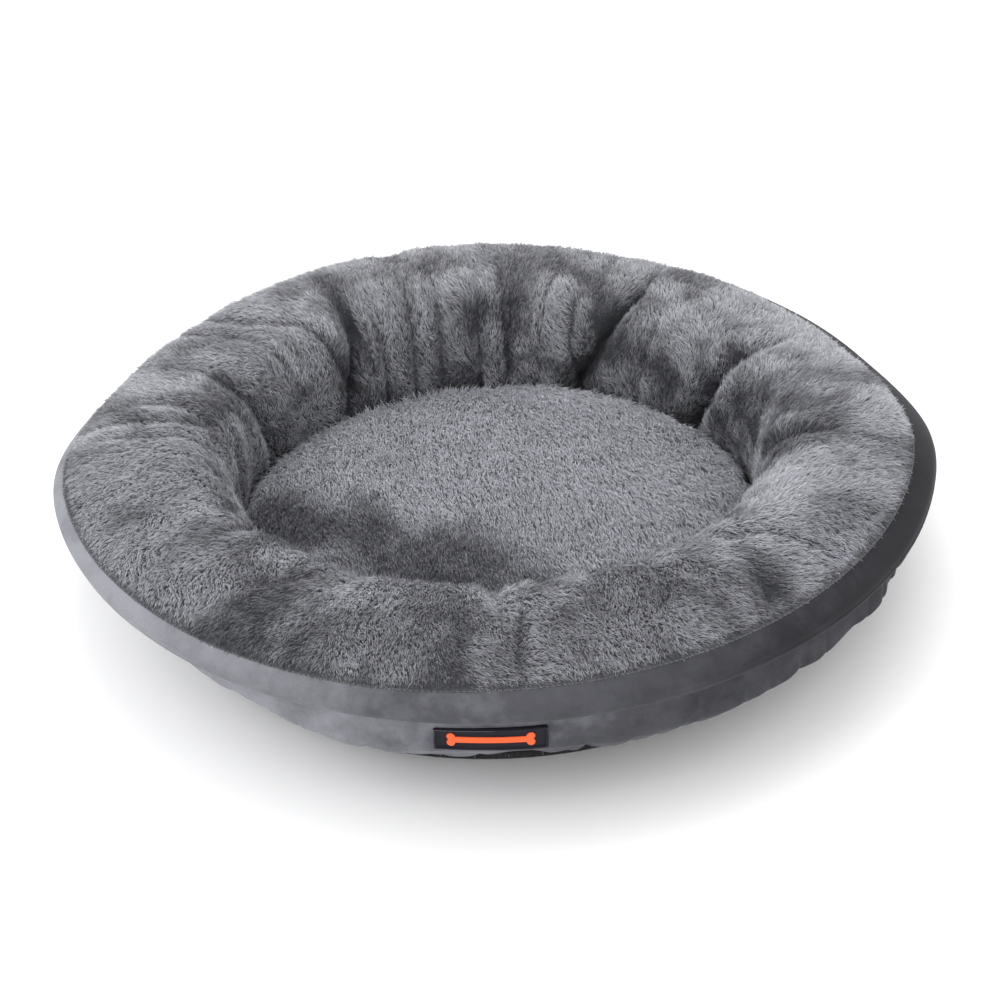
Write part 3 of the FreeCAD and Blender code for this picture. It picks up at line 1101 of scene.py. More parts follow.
@dataclass(frozen=True)
class Pile:
    """Strands of plush in small tufts, combed by hand into patches."""

    side: Side
    tuft_gap: float = 2.4 * MM
    strands: int = 5
    length: float = 7.0 * MM
    width: float = 0.50 * MM
    lean: float = math.radians(67)
    gather: float = 0.28
    spread: float = 0.95
    stretch: float = 1.4
    swirl: float = 0.85
    stray: float = 0.32
    swirl_cell: float = 45.0 * MM
    pieces: int = 17
    seed: int = 1

    def scatter(
        self,
        piece: bpy.types.Object,
        carried: np.ndarray,
        keep: Callable[[np.ndarray, np.ndarray], np.ndarray],
    ) -> tuple[np.ndarray, np.ndarray, np.ndarray]:
        """Choose where tufts stand on a piece, evenly over its area.

        Args:
            piece: The plush's ground.
            carried: One number for each point, blended to the tufts.
            keep: Says which faces may hold tufts, from their middles and normals.

        Returns:
            The tufts' points, their unit normals and their carried numbers.
        """
        mesh = piece.data
        mesh.calc_loop_triangles()
        points, normals = read_rows(mesh), read_rows(mesh, "normal")
        corners = np.zeros(len(mesh.loop_triangles) * 3, np.int32)
        mesh.loop_triangles.foreach_get("vertices", corners)
        corners = corners.reshape(-1, 3)
        corners = corners[keep(points[corners].mean(axis=1), unit(normals[corners].mean(axis=1)))]
        a, b, c = (points[corners[:, i]] for i in range(3))
        area = np.cumsum(np.linalg.norm(np.cross(b - a, c - a), axis=1) / 2)
        rng = np.random.default_rng(self.seed)
        count = int(area[-1] / self.tuft_gap**2)
        picked = np.searchsorted(area, (np.arange(count) + rng.random(count)) / count * area[-1])
        u, v = rng.random((2, count, 1))
        flip = u + v > 1
        u, v = np.where(flip, 1 - u, u), np.where(flip, 1 - v, v)
        chosen = corners[np.minimum(picked, len(corners) - 1)]
        every = np.concatenate([points, normals, carried[:, None]], axis=1)
        mixed = (1 - u - v) * every[chosen[:, 0]] + u * every[chosen[:, 1]] + v * every[chosen[:, 2]]
        return mixed[:, :3], unit(mixed[:, 3:6]), mixed[:, 6]

    def streaks(self, points: np.ndarray, cell: float, seed: int) -> np.ndarray:
        """Give noise that is drawn out across the roll, or plain noise on the cushion.

        Args:
            points: Rows of x, y and z in metres.
            cell: The width of the largest features in metres.
            seed: Chooses the pattern.

        Returns:
            One number from about -1 to 1 for each point.
        """
        if self.side is Side.CUSHION:
            return cloudy(points, cell, seed, 2)
        radius = radius_of(points)
        roll = np.arctan2(points[:, 2] - ROLL_HEIGHT, radius - ROLL_RADIUS)
        ring = outward_of(points) * ROLL_GIRTH
        return cloudy(np.stack([ring[:, 0], ring[:, 1], roll * 0.055], axis=1), cell, seed, 3)

    def comb(self, points: np.ndarray, normals: np.ndarray) -> tuple[np.ndarray, np.ndarray]:
        """Give the direction in which the pile is brushed.

        Args:
            points: The tufts' points.
            normals: Their unit normals.

        Returns:
            Unit directions that lie in the surface, and how far each patch is turned aside.
        """
        outward = outward_of(points)
        round_about = np.cross(UP, outward)
        if self.side is Side.BOLSTER:
            wall = smooth(-(normals * outward).sum(axis=1), 0.1, 0.6)[:, None]
            way = outward * (1 - wall) + UP * wall * 1.2 + 0.35 * round_about
        else:
            way = np.broadcast_to(np.array([0.22, -1.0, 0.0]), points.shape)
        way = unit(way - normals * (way * normals).sum(axis=1, keepdims=True))
        across = np.cross(normals, way)
        swirl = self.streaks(points, self.swirl_cell, Seed.SWIRL + self.seed)
        stray = self.stray * lattice_noise(points, 9 * MM, Seed.STRAY + self.seed)
        turn = self.swirl * 1.7 * swirl + stray
        return way * np.cos(turn)[:, None] + across * np.sin(turn)[:, None], swirl

    def shade(
        self, points: np.ndarray, normals: np.ndarray, swirl: np.ndarray, deep: np.ndarray
    ) -> np.ndarray:
        """Give how light each tuft is, from its random patch and from painted light and shade set by its
        place and the fold that it lies in.

        Args:
            points: The tufts' points.
            normals: Their unit normals.
            swirl: How far each patch is turned aside.
            deep: How deep in a fold each tuft lies.

        Returns:
            One number for each tuft, mostly from 0 to 1.
        """
        patch = 0.6 * swirl + 0.8 * self.streaks(points, 0.6 * self.swirl_cell, Seed.PATCH + self.seed)
        if self.side is Side.CUSHION:
            # Painted shade along the front-left wall, where the bolster shades the cushion.
            reach = PAINTED_SHADE_TO - PAINTED_SHADE_FROM
            share = np.clip((points[:, :2] - PAINTED_SHADE_FROM) @ reach / (reach @ reach), 0, 1)
            spot = np.linalg.norm(points[:, :2] - PAINTED_SHADE_FROM - share[:, None] * reach, axis=1)
            painted_wall_shade = 1 - smooth(spot + 0.045 * patch, 0.010, 0.060)
            # More painted shade round the cushion's front edge, beside the wall.
            rim = smooth(radius_of(points), 0.165, 0.192)
            painted_wall_shade = np.maximum(painted_wall_shade, 0.7 * rim * smooth(-points[:, 1], -0.01, 0.06))
            return 0.80 + 0.10 * patch - 0.64 * painted_wall_shade
        # Painted shade: darker at the front, at the back and on the inner wall. Painted highlight: lighter
        # along the front crest.
        front = smooth(-points[:, 1], 0.17, 0.30)
        wall = smooth(-(outward_of(points) * normals).sum(axis=1), 0.35, 0.75)
        rubbed = smooth(patch, -0.50, 0.22)
        behind = smooth(points[:, 1], 0.15, 0.28)
        crest = smooth(0.285 - radius_of(points), 0.0, 0.035)
        crest = crest * smooth(-points[:, 1], 0.04, 0.14) * (1 - wall)
        tone = 0.26 + 0.44 * rubbed - 0.20 * front - 0.10 * behind - 0.15 * wall + 0.18 * crest
        # Painted shade in the folds.
        return tone - 0.70 * deep

    def unwrap(self, points: np.ndarray) -> np.ndarray:
        """Lay points out flat for the baked colour map.

        Args:
            points: Rows of x, y and z.

        Returns:
            Rows of two numbers, not yet scaled to the map.
        """
        if self.side is Side.CUSHION:
            return points[:, :2].copy()
        radius = radius_of(points)
        roll = np.arctan2(points[:, 2] - ROLL_HEIGHT, radius - ROLL_RADIUS)
        roll = np.where(roll < -1.0, roll + FULL_TURN, roll)
        return np.stack([turn_of(points) * ROLL_GIRTH, roll * 0.07], axis=1)

    def strands_at(
        self, centres: np.ndarray, normals: np.ndarray, deep: np.ndarray, trim: np.ndarray
    ) -> tuple[np.ndarray, np.ndarray, np.ndarray]:
        """Grow every tuft's strands.

        Args:
            centres: The tufts' points.
            normals: Their unit normals.
            deep: How deep in a fold each tuft lies.
            trim: How much of its full length each tuft keeps.

        Returns:
            Each strand's seven points, its tint, and its root's point.
        """
        rng = np.random.default_rng(self.seed + Seed.STRANDS)
        way, swirl = self.comb(centres, normals)
        across = np.cross(normals, way)
        count = len(centres)
        steepness = self.lean + rng.normal(0, 0.16, count) - 0.12 * lattice_noise(centres, 12 * MM, Seed.LEAN)
        lengths = self.length * trim * (1 - 0.45 * deep) * (1 + rng.normal(0, 0.14, count))
        lay = normals * np.cos(steepness)[:, None] + way * np.sin(steepness)[:, None]
        shared_tip = centres + lay * lengths[:, None]
        tone = self.shade(centres, normals, swirl, deep)
        tone += 0.06 * rng.normal(0, 1, count) + 0.08 * lattice_noise(centres, 10 * MM, Seed.TONE)
        index = np.repeat(np.arange(count), self.strands)
        total = len(index)
        spot = self.tuft_gap * self.spread * np.sqrt(rng.random(total))
        spin = rng.random(total) * FULL_TURN
        offset = way[index] * (spot * np.cos(spin) * self.stretch)[:, None]
        offset += across[index] * (spot * np.sin(spin) / self.stretch)[:, None]
        roots = centres[index] + offset - normals[index] * 0.6 * MM
        veer = rng.normal(0, 0.7 * self.stray, total)[:, None]
        own = way[index] * np.cos(veer) + across[index] * np.sin(veer)
        tilt = (steepness[index] + rng.normal(0, 0.14, total))[:, None]
        own_length = (lengths[index] * (1 + rng.normal(0, 0.2, total)))[:, None]
        tips = roots + (normals[index] * np.cos(tilt) + own * np.sin(tilt)) * own_length
        tips += (shared_tip[index] - tips) * self.gather * rng.random((total, 1))
        bow = 0.16 * own_length + rng.normal(0, 0.03, (total, 1)) * own_length
        middles = (roots + tips) / 2 + normals[index] * bow
        middles += across[index] * rng.normal(0, 0.07, (total, 1)) * own_length
        flank = unit(np.cross(tips - roots, normals[index]))
        rise = unit(np.cross(flank, tips - roots))
        wide = self.width * (0.8 + 0.4 * rng.random((total, 1)))
        rings = []
        for centre, share in ((roots, 1.0), (middles, 0.85)):
            half = flank * wide * share / 2
            rings += [centre - half, centre + half, centre + rise * wide * share * 0.45]
        strands = np.stack(rings + [tips], axis=1)
        tint_and_painted_shade = np.clip(tone[index] + rng.normal(0, 0.10, total), 0, 1)
        return strands, tint_and_painted_shade, roots

    def lay(
        self,
        body: str,
        finish: bpy.types.Material,
        along: np.ndarray,
        strands: np.ndarray,
        tint_and_painted_shade: np.ndarray,
    ) -> None:
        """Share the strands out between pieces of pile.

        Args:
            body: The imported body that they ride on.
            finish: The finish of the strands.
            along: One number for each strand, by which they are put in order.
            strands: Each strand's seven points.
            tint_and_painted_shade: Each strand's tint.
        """
        order = np.argsort(along, kind="stable")
        for index, picked in enumerate(np.array_split(order, self.pieces)):
            name = "%s_pile_%02d" % (self.side.value, index + 1)
            dress(self.build(name, strands[picked], tint_and_painted_shade[picked]), body, finish)

    def build(self, name: str, strands: np.ndarray, tint_and_painted_shade: np.ndarray) -> bpy.types.Object:
        """Make one piece of pile.

        Args:
            name: The piece's name.
            strands: Each strand's seven points.
            tint_and_painted_shade: Each strand's tint.

        Returns:
            The new object, with its bake map and its tint and along attributes.
        """
        count = len(strands)
        walls = np.array([[0, 1, 4, 3], [1, 2, 5, 4], [2, 0, 3, 5]])
        points_up = np.array([[3, 4, 6], [4, 5, 6], [5, 3, 6]])
        faces = copies((walls, points_up), count, STRAND_POINTS)
        piece = new_mesh(name, strands.reshape(-1, 3), faces)
        mesh = piece.data
        along = np.tile(np.array([0, 0, 0, 0.55, 0.55, 0.55, 1.0], np.float32), count)
        for label, values in (("tint_and_painted_shade", np.repeat(tint_and_painted_shade, STRAND_POINTS)), ("along", along)):
            layer = mesh.attributes.new(label, "FLOAT", "POINT")
            layer.data.foreach_set("value", values.astype(np.float32))
        flat = self.unwrap(strands.reshape(-1, 3))
        low, high = flat.min(axis=0), flat.max(axis=0)
        flat = 0.01 + 0.98 * (flat - low) / (high - low)
        corners = np.zeros(len(mesh.loops), np.int32)
        mesh.loops.foreach_get("vertex_index", corners)
        layer = mesh.uv_layers.new(name="OFBake")
        layer.data.foreach_set("uv", flat[corners].astype(np.float32).ravel())
        return piece


# ---------------------------------------------------------------- sub-assemblies


@dataclass
class Bolster:
    """The padded roll: plush cover, its pile and the fibre inside."""

    shape: ShellShape
    steps: int = 720
    columns: int = 97
    gauge: float = 2.5 * MM
    bare: float = 2.0 * MM
    deepest: float = 0.72
    pile: Pile = field(default_factory=lambda: Pile(Side.BOLSTER))

    def build(self, ground: bpy.types.Material, pile: bpy.types.Material) -> None:
        """Make the cover and its pile.

        Args:
            ground: The finish of the knitted ground.
            pile: The finish of the strands.
        """
        turn = turns(self.steps)[:, None]
        outer, deep = self.shape.skin(turn, np.linspace(0, 1, self.columns)[None, :])
        faces = wrapped_grid(self.steps, self.columns, False)
        face = new_mesh("bolster_face", outer.reshape(-1, 3), [faces])
        tufts = self.pile.scatter(face, deep.ravel(), lambda place, facing: place[:, 2] > 0.014)
        bpy.data.objects.remove(face)
        inner = outer - grid_normals(outer) * self.gauge
        cover = ring_piece("bolster_cover_plush", np.concatenate([outer, inner[:, ::-4]], axis=1))
        dress(cover, BED, ground)
        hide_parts("bolster_cover")
        self.grow(*tufts, pile)

    def grow(
        self, centres: np.ndarray, normals: np.ndarray, deep: np.ndarray, pile: bpy.types.Material
    ) -> None:
        """Grow the pile in sectors round the bed, shorter beside the rim seam and darker there as painted
        shadow.

        Args:
            centres: The tufts' points.
            normals: Their unit normals.
            deep: How deep in a fold each tuft lies.
            pile: The finish of the strands.
        """
        turn = turn_of(centres)
        seam_r, _ = self.shape.seam(turn)
        margin = seam_r - radius_of(centres)
        kept = (margin > self.bare) & (deep < self.deepest)
        centres, normals, deep, margin = (part[kept] for part in (centres, normals, deep, margin))
        trim = 0.45 + 0.55 * smooth(margin, 0.0, 13 * MM)
        # Painted shadow along the rim seam: the tufts there are shaded and shortened as in a fold.
        deep = np.maximum(deep, 0.45 * (1 - smooth(margin, 3 * MM, 10 * MM)))
        strands, tint_and_painted_shade, roots = self.pile.strands_at(centres, normals, deep, trim)
        self.pile.lay(BED, pile, turn_of(roots) % FULL_TURN, strands, tint_and_painted_shade)

    def fill(self, finish: bpy.types.Material) -> None:
        """Make the fibre between the cover, the side and the floor.

        Args:
            finish: The fibre's finish.
        """
        turn = turns(240)[:, None]
        top, _ = self.shape.skin(turn, np.linspace(0.06, 0.97, 40)[None, :], 8.0 * MM)
        side_share = np.linspace(0.12, 0.92, 24)[None, :]
        side = self.shape.panel(turn, side_share)
        side = side - grid_normals(side) * 10.0 * MM
        loops = np.concatenate([top, side], axis=1)
        loops[..., 2] = np.maximum(loops[..., 2], self.shape.layout.floor_height + 0.5 * MM)
        piece = ring_piece("bolster_fibre", loops)
        dress(piece, BED, finish)
        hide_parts("bolster_filling")


@dataclass
class Rim:
    """The folded velvet band round the rim and the soft strip in it."""

    shape: ShellShape
    steps: int = 900
    depth: float = 9.0 * MM
    pinch: float = 4.0 * MM
    bulge: float = 5.5 * MM
    lip: float = 1.0 * MM
    wave: float = 1.3 * MM
    hang: float = 1.2 * MM

    def loops(self, inset: float, top_drop: float) -> np.ndarray:
        """Give the band's closed cross-sections.

        Args:
            inset: How far inside the velvet's face the line lies.
            top_drop: How far under the seam the line starts.

        Returns:
            Steps by points by three.
        """
        size = self.shape.layout
        turn = turns(self.steps)[:, None]
        seam_r, seam_z = self.shape.seam(turn)
        dip = self.shape.dip(turn)
        wave = self.wave * round_noise(turn, size.fold_radius, 0.09, Seed.BAND_WAVE)
        hang = self.hang * round_noise(turn, size.fold_radius, 0.12, Seed.BAND_HANG)
        fold_r = size.fold_radius - 0.2 * dip + wave - self.lip
        fold_z = size.fold_height - dip + hang
        share = np.linspace(0, 1, 26)[None, :]
        top_z = seam_z - top_drop
        outer_r = seam_r + (fold_r - seam_r) * share**0.85 + self.bulge * np.sin(math.pi * share)
        outer_r = outer_r + self.lip * smooth(share, 0.82, 0.97)
        outer_z = top_z + (fold_z + self.depth / 2 - top_z) * share
        angle = np.linspace(0, math.pi, 12)[None, 1:-1]
        turn_r = outer_r[:, -1:] - self.depth / 2 * (1 - np.cos(angle))
        turn_z = outer_z[:, -1:] - (self.depth / 2 - inset) * np.sin(angle) * 0.85
        inner_r = outer_r[:, -1:] - self.depth + (seam_r - self.pinch - fold_r + self.depth) * share
        inner_z = outer_z[:, -1:] + (top_z - outer_z[:, -1:]) * share
        radius = np.concatenate([outer_r - inset, turn_r, inner_r + inset], axis=1)
        height = np.concatenate([outer_z, turn_z, inner_z], axis=1)
        return place_round(turn + 0 * radius, radius, height)

    def build(self, velvet: bpy.types.Material, fibre: bpy.types.Material) -> None:
        """Make the band and the strip inside it.

        Args:
            velvet: The band's finish.
            fibre: The strip's finish.
        """
        band = ring_piece("rim_band_velvet", self.loops(0.0, 0.0)[:, ::-1])
        dress(band, BED, velvet)
        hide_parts("rim_band")
        strip = ring_piece("rim_band_strip", self.loops(1.6 * MM, 8.0 * MM)[:, ::-1])
        dress(strip, BED, fibre)
        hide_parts("rim_band_wadding")


@dataclass
class SidePanel:
    """The velvet side, gathered into the base."""

    shape: ShellShape
    steps: int = 1200
    columns: int = 57
    gauge: float = 1.6 * MM

    def build(self, velvet: bpy.types.Material) -> None:
        """Make the side.

        Args:
            velvet: The side's finish.
        """
        turn = turns(self.steps)[:, None]
        share = np.linspace(0, 1, self.columns)[None, :]
        smooth_line = self.shape.panel(turn, share)
        normals = grid_normals(smooth_line)
        outer = smooth_line + normals * self.shape.folds(turn, share)[..., None]
        inner = outer - normals * self.gauge
        loops = np.concatenate([outer, inner[:, ::-4]], axis=1)
        piece = ring_piece("side_panel_velvet", loops)
        dress(piece, BED, velvet)
        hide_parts("side_panel")


@dataclass
class Base:
    """The non-slip base cloth with its hem, its grip dots, its wadding and the well's floor."""

    layout: Layout
    steps: int = 360
    gauge: float = 1.0 * MM
    dot_gap: float = 13.0 * MM
    dot_radius: float = 1.6 * MM
    dot_rise: float = 0.5 * MM

    def disc(self, name: str, line: Sequence[tuple[float, float]], ripple: float) -> bpy.types.Object:
        """Make a closed round piece from its half section.

        Args:
            name: The piece's name.
            line: Radius and height pairs from the axis below to the axis above.
            ripple: How far the cloth wanders up and down, in metres.

        Returns:
            The new object.
        """
        turn = turns(self.steps)[:, None]
        radius = np.array([point[0] for point in line])[None, 1:-1]
        height = np.array([point[1] for point in line])[None, 1:-1]
        points = place_round(turn + 0 * radius, radius + 0 * turn, height + 0 * turn)
        wander = ripple * cloudy(points.reshape(-1, 3), 0.05, Seed.BASE).reshape(points.shape[:2])
        points[..., 2] += wander * (height > self.gauge)
        columns = points.shape[1]
        faces = wrapped_grid(self.steps, columns, False)
        bottom = self.steps * columns
        low_fan = fan(self.steps, columns, 0, bottom)[:, ::-1]
        high_fan = fan(self.steps, columns, columns - 1, bottom + 1)[:, [2, 0, 1]]
        ends = np.array([[0, 0, line[0][1]], [0, 0, line[-1][1]]])
        every = np.concatenate([points.reshape(-1, 3), ends])
        return new_mesh(name, every, [faces[:, ::-1], low_fan, high_fan])

    def build(self, cloth: bpy.types.Material) -> None:
        """Make the base cloth with its upturned hem.

        Args:
            cloth: The base cloth's finish.
        """
        edge, top = self.layout.base_radius, self.layout.hem_height
        low = self.dot_rise
        rings = [(edge * share, low) for share in (0.0, 0.12, 0.3, 0.5, 0.7, 0.85, 0.95, 0.99)]
        line = rings + [(edge - 0.4 * MM, low + 0.3 * MM), (edge, low + 1.2 * MM), (edge, top)]
        line += [(edge - self.gauge, top), (edge - self.gauge, low + self.gauge)]
        line += [(edge * share, low + self.gauge) for share in (0.8, 0.5, 0.2, 0.0)]
        piece = self.disc("base_cloth", line, 0.0)
        dress(piece, BED, cloth)
        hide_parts("base_sheet")

    def grip(self, rubber: bpy.types.Material) -> None:
        """Make the grip dots, in staggered rows over the underside.

        Args:
            rubber: The dots' finish.
        """
        reach = int(self.layout.base_radius / self.dot_gap) + 2
        centres = []
        for row in range(-reach, reach + 1):
            for column in range(-reach, reach + 1):
                x = (column + 0.5 * (row % 2)) * self.dot_gap
                y = row * self.dot_gap * math.sqrt(3) / 2
                if math.hypot(x, y) < self.layout.base_radius - 6 * MM:
                    centres.append((x, y))
        sides = 10
        angle = turns(sides)
        ring = np.stack([np.cos(angle), np.sin(angle), 0 * angle], axis=1)
        wide = ring * self.dot_radius + [0, 0, self.dot_rise + 0.1 * MM]
        narrow = ring * self.dot_radius * 0.7 + [0, 0, 0.12 * MM]
        dot = np.concatenate([wide, narrow, [[0, 0, 0.0]], [[0, 0, self.dot_rise + 0.1 * MM]]])
        here = np.arange(sides)
        there = (here + 1) % sides
        walls = np.stack([here, here + sides, there + sides, there], axis=1)
        caps = np.stack([here + sides, 0 * here + 2 * sides, there + sides], axis=1)
        backs = np.stack([there, 0 * here + 2 * sides + 1, here], axis=1)
        spots = np.array([(x, y, 0.0) for x, y in centres])
        points = (spots[:, None, :] + dot[None]).reshape(-1, 3)
        faces = copies((walls, caps, backs), len(centres), len(dot))
        piece = new_mesh("base_grip_dots", points, faces)
        dress(piece, BED, rubber)

    def pad(self, fibre: bpy.types.Material, lining: bpy.types.Material) -> None:
        """Make the thin wadding and the floor of the well.

        Args:
            fibre: The wadding's finish.
            lining: The floor's finish.
        """
        edge = self.layout.base_radius - 5 * MM
        low, high = self.dot_rise + self.gauge + 0.4 * MM, self.layout.floor_height - 1.6 * MM
        shares = (0.0, 0.2, 0.4, 0.6, 0.8, 0.93)
        line = [(edge * share, low) for share in shares]
        line += [(edge, (low + high) / 2)] + [(edge * share, high) for share in shares[::-1]]
        wadding = self.disc("base_wadding_fibre", line, 0.3 * MM)
        dress(wadding, BED, fibre)
        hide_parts("base_wadding")
        top = self.layout.floor_height
        fine = np.linspace(0, 1, 40)
        line = [(edge * share, top - 0.9 * MM) for share in fine]
        line += [(edge * share, top - 0.1 * MM) for share in fine[::-1]]
        floor = self.disc("well_floor", line, 0.35 * MM)
        dress(floor, BED, lining)
        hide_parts("floor_lining")


@dataclass
class Stitches:
    """Short stitches laid along a closed line, each a small bent tube."""

    radius: float = 0.45 * MM
    sides: int = 6

    def build(
        self,
        name: str,
        path: Callable[[np.ndarray], np.ndarray],
        count: int,
        length: float,
        upright: bool = False,
    ) -> bpy.types.Object:
        """Make the stitches.

        Args:
            name: The piece's name.
            path: Gives the line's points from angles in radians.
            count: How many stitches there are.
            length: The length of one stitch, in metres.
            upright: Whether the stitches stand across the line instead of lying along it.

        Returns:
            The new object.
        """
        turn = turns(count)
        middle = path(turn)
        ahead = path(turn + 1e-3)
        out = outward_of(middle)
        along = np.broadcast_to(UP, middle.shape) if upright else unit(ahead - middle)
        across = unit(np.cross(along, out))
        stations = np.array([-0.5, -0.42, -0.15, 0.15, 0.42, 0.5])
        girths = np.array([0.25, 0.85, 1.0, 1.0, 0.85, 0.25])
        lifts = np.array([-0.9, -0.3, 0.25, 0.25, -0.3, -0.9])
        angle = turns(self.sides)
        rings = []
        for station, girth, lift in zip(stations, girths, lifts):
            centre = middle + along * station * length + out * lift * self.radius
            for part in angle:
                spoke = out * math.cos(part) + across * math.sin(part)
                rings.append(centre + spoke * self.radius * girth)
        points = np.stack(rings, axis=1)
        here = np.arange(self.sides)
        after = (here + 1) % self.sides
        walls = []
        for step in range(len(stations) - 1):
            low, high = step * self.sides, (step + 1) * self.sides
            walls.append(np.stack([low + here, low + after, high + after, high + here], axis=1))
        ends = np.stack([here[::-1], here + (len(stations) - 1) * self.sides])
        faces = copies(walls + [ends], count, points.shape[1])
        return new_mesh(name, points.reshape(-1, 3), faces)


@dataclass
class Label:
    """The rubber label on the front, with a raised border and a bone in orange."""

    turn: float = math.radians(-92)
    width: float = 80.0 * MM
    height: float = 19.0 * MM
    bone: float = 62.0 * MM
    knob: float = 3.2 * MM
    shaft: float = 2.7 * MM
    cells: tuple[int, int] = (320, 100)
    corner: float = 2.0 * MM
    border_rise: float = 1.1 * MM
    bone_rise: float = 1.0 * MM
    groove: float = 0.15 * MM
    bone_gauge: float = 0.9 * MM

    def relief(self, x: np.ndarray, z: np.ndarray) -> tuple[np.ndarray, np.ndarray]:
        """Give the moulded front's height and which part of it is the bone.

        Args:
            x: Distances along the label from its middle, in metres.
            z: Distances up the label from its middle, in metres.

        Returns:
            Heights above the plain rubber in metres, and the bone's share from 0 to 1.
        """
        edge = np.minimum(self.width / 2 - np.abs(x), self.height / 2 - np.abs(z))
        border = smooth(edge, 0.0, 0.7 * MM) * (1 - smooth(edge, 1.7 * MM, 2.4 * MM))
        reach = self.bone / 2 - self.knob
        away = np.maximum(np.abs(z) - self.shaft, np.abs(x) - reach)
        for side, up in product((-1, 1), repeat=2):
            knob = np.hypot(x - side * reach, z - up * self.knob * 0.82) - self.knob
            away = np.minimum(away, knob)
        raised = 1 - smooth(away, -0.45 * MM, 0.15 * MM)
        sunk = smooth(away, 0.2 * MM, 0.8 * MM) * (1 - smooth(away, 0.8 * MM, 1.6 * MM))
        height = self.border_rise * border + self.bone_rise * raised - self.groove * sunk
        return height * smooth(edge, 0.0, 0.5 * MM), raised

    def build(self, rubber: bpy.types.Material, orange: bpy.types.Material) -> None:
        """Mould the label round the front of the side.

        Args:
            rubber: The plate's finish.
            orange: The bone's finish.
        """
        low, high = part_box("label_patch")
        radius = -low[1] - 0.6 * MM
        middle = (low[2] + high[2]) / 2
        columns, rows = self.cells
        along = np.linspace(-self.width / 2, self.width / 2, columns)
        up = np.linspace(-self.height / 2, self.height / 2, rows)
        x, z = np.meshgrid(along, up, indexing="ij")
        past = np.maximum(np.abs(z) - (self.height / 2 - self.corner), 0) / self.corner
        limit = self.width / 2 - self.corner * (1 - np.sqrt(1 - np.minimum(past, 1) ** 2))
        x = np.clip(x, -limit, limit)
        height, bone = self.relief(x, z)
        drape = 0.5 * MM * np.sin(x / self.width * math.pi * 1.3 + 0.4)
        deep = radius - 1.6 * MM + drape
        front = place_round(self.turn + x / radius, deep + 1.2 * MM + height, middle + z)
        back = place_round(self.turn + x / radius, deep - 0.4 * MM, middle + z)
        count = columns * rows
        column, row = np.meshgrid(np.arange(columns - 1), np.arange(rows - 1), indexing="ij")
        first = (column * rows + row).ravel()
        face = np.stack([first, first + rows, first + rows + 1, first + 1], axis=1)
        ring = [np.arange(columns) * rows, (columns - 1) * rows + np.arange(1, rows)]
        ring += [np.arange(columns - 2, -1, -1) * rows + rows - 1, np.arange(rows - 2, 0, -1)]
        edge = np.concatenate(ring)
        after = np.roll(edge, -1)
        wall = np.stack([edge, edge + count, after + count, after], axis=1)
        points = np.concatenate([front.reshape(-1, 3), back.reshape(-1, 3)])
        shares = bone.ravel()[face].mean(axis=1)
        on_bone = shares > 0.5
        plate = [face[~on_bone], face[:, ::-1] + count, wall]
        piece = new_mesh("label_plate", points, plate)
        dress(piece, BED, rubber)
        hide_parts("label_patch")
        marked = face[on_bone]
        used, numbers = np.unique(marked, return_inverse=True)
        top = points[used]
        sole = top - outward_of(top) * self.bone_gauge
        marked = numbers.reshape(marked.shape)
        skirt = self.skirt(marked, len(used))
        bone_piece = new_mesh(
            "label_bone", np.concatenate([top, sole]), [marked, marked[:, ::-1] + len(used), skirt]
        )
        dress(bone_piece, BED, orange)
        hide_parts("label_motif")

    def skirt(self, faces: np.ndarray, shift: int) -> np.ndarray:
        """Join the open edge of a patch of quads to its copy below.

        Args:
            faces: The patch's quads.
            shift: How many points lie between a point and its copy.

        Returns:
            The quads of the wall between them.
        """
        starts, ends = faces.ravel(), np.roll(faces, -1, axis=1).ravel()
        size = int(faces.max()) + 1
        forward = starts * size + ends
        backward = ends * size + starts
        lone = ~np.isin(forward, backward)
        starts, ends = starts[lone], ends[lone]
        return np.stack([starts, starts + shift, ends + shift, ends], axis=1)


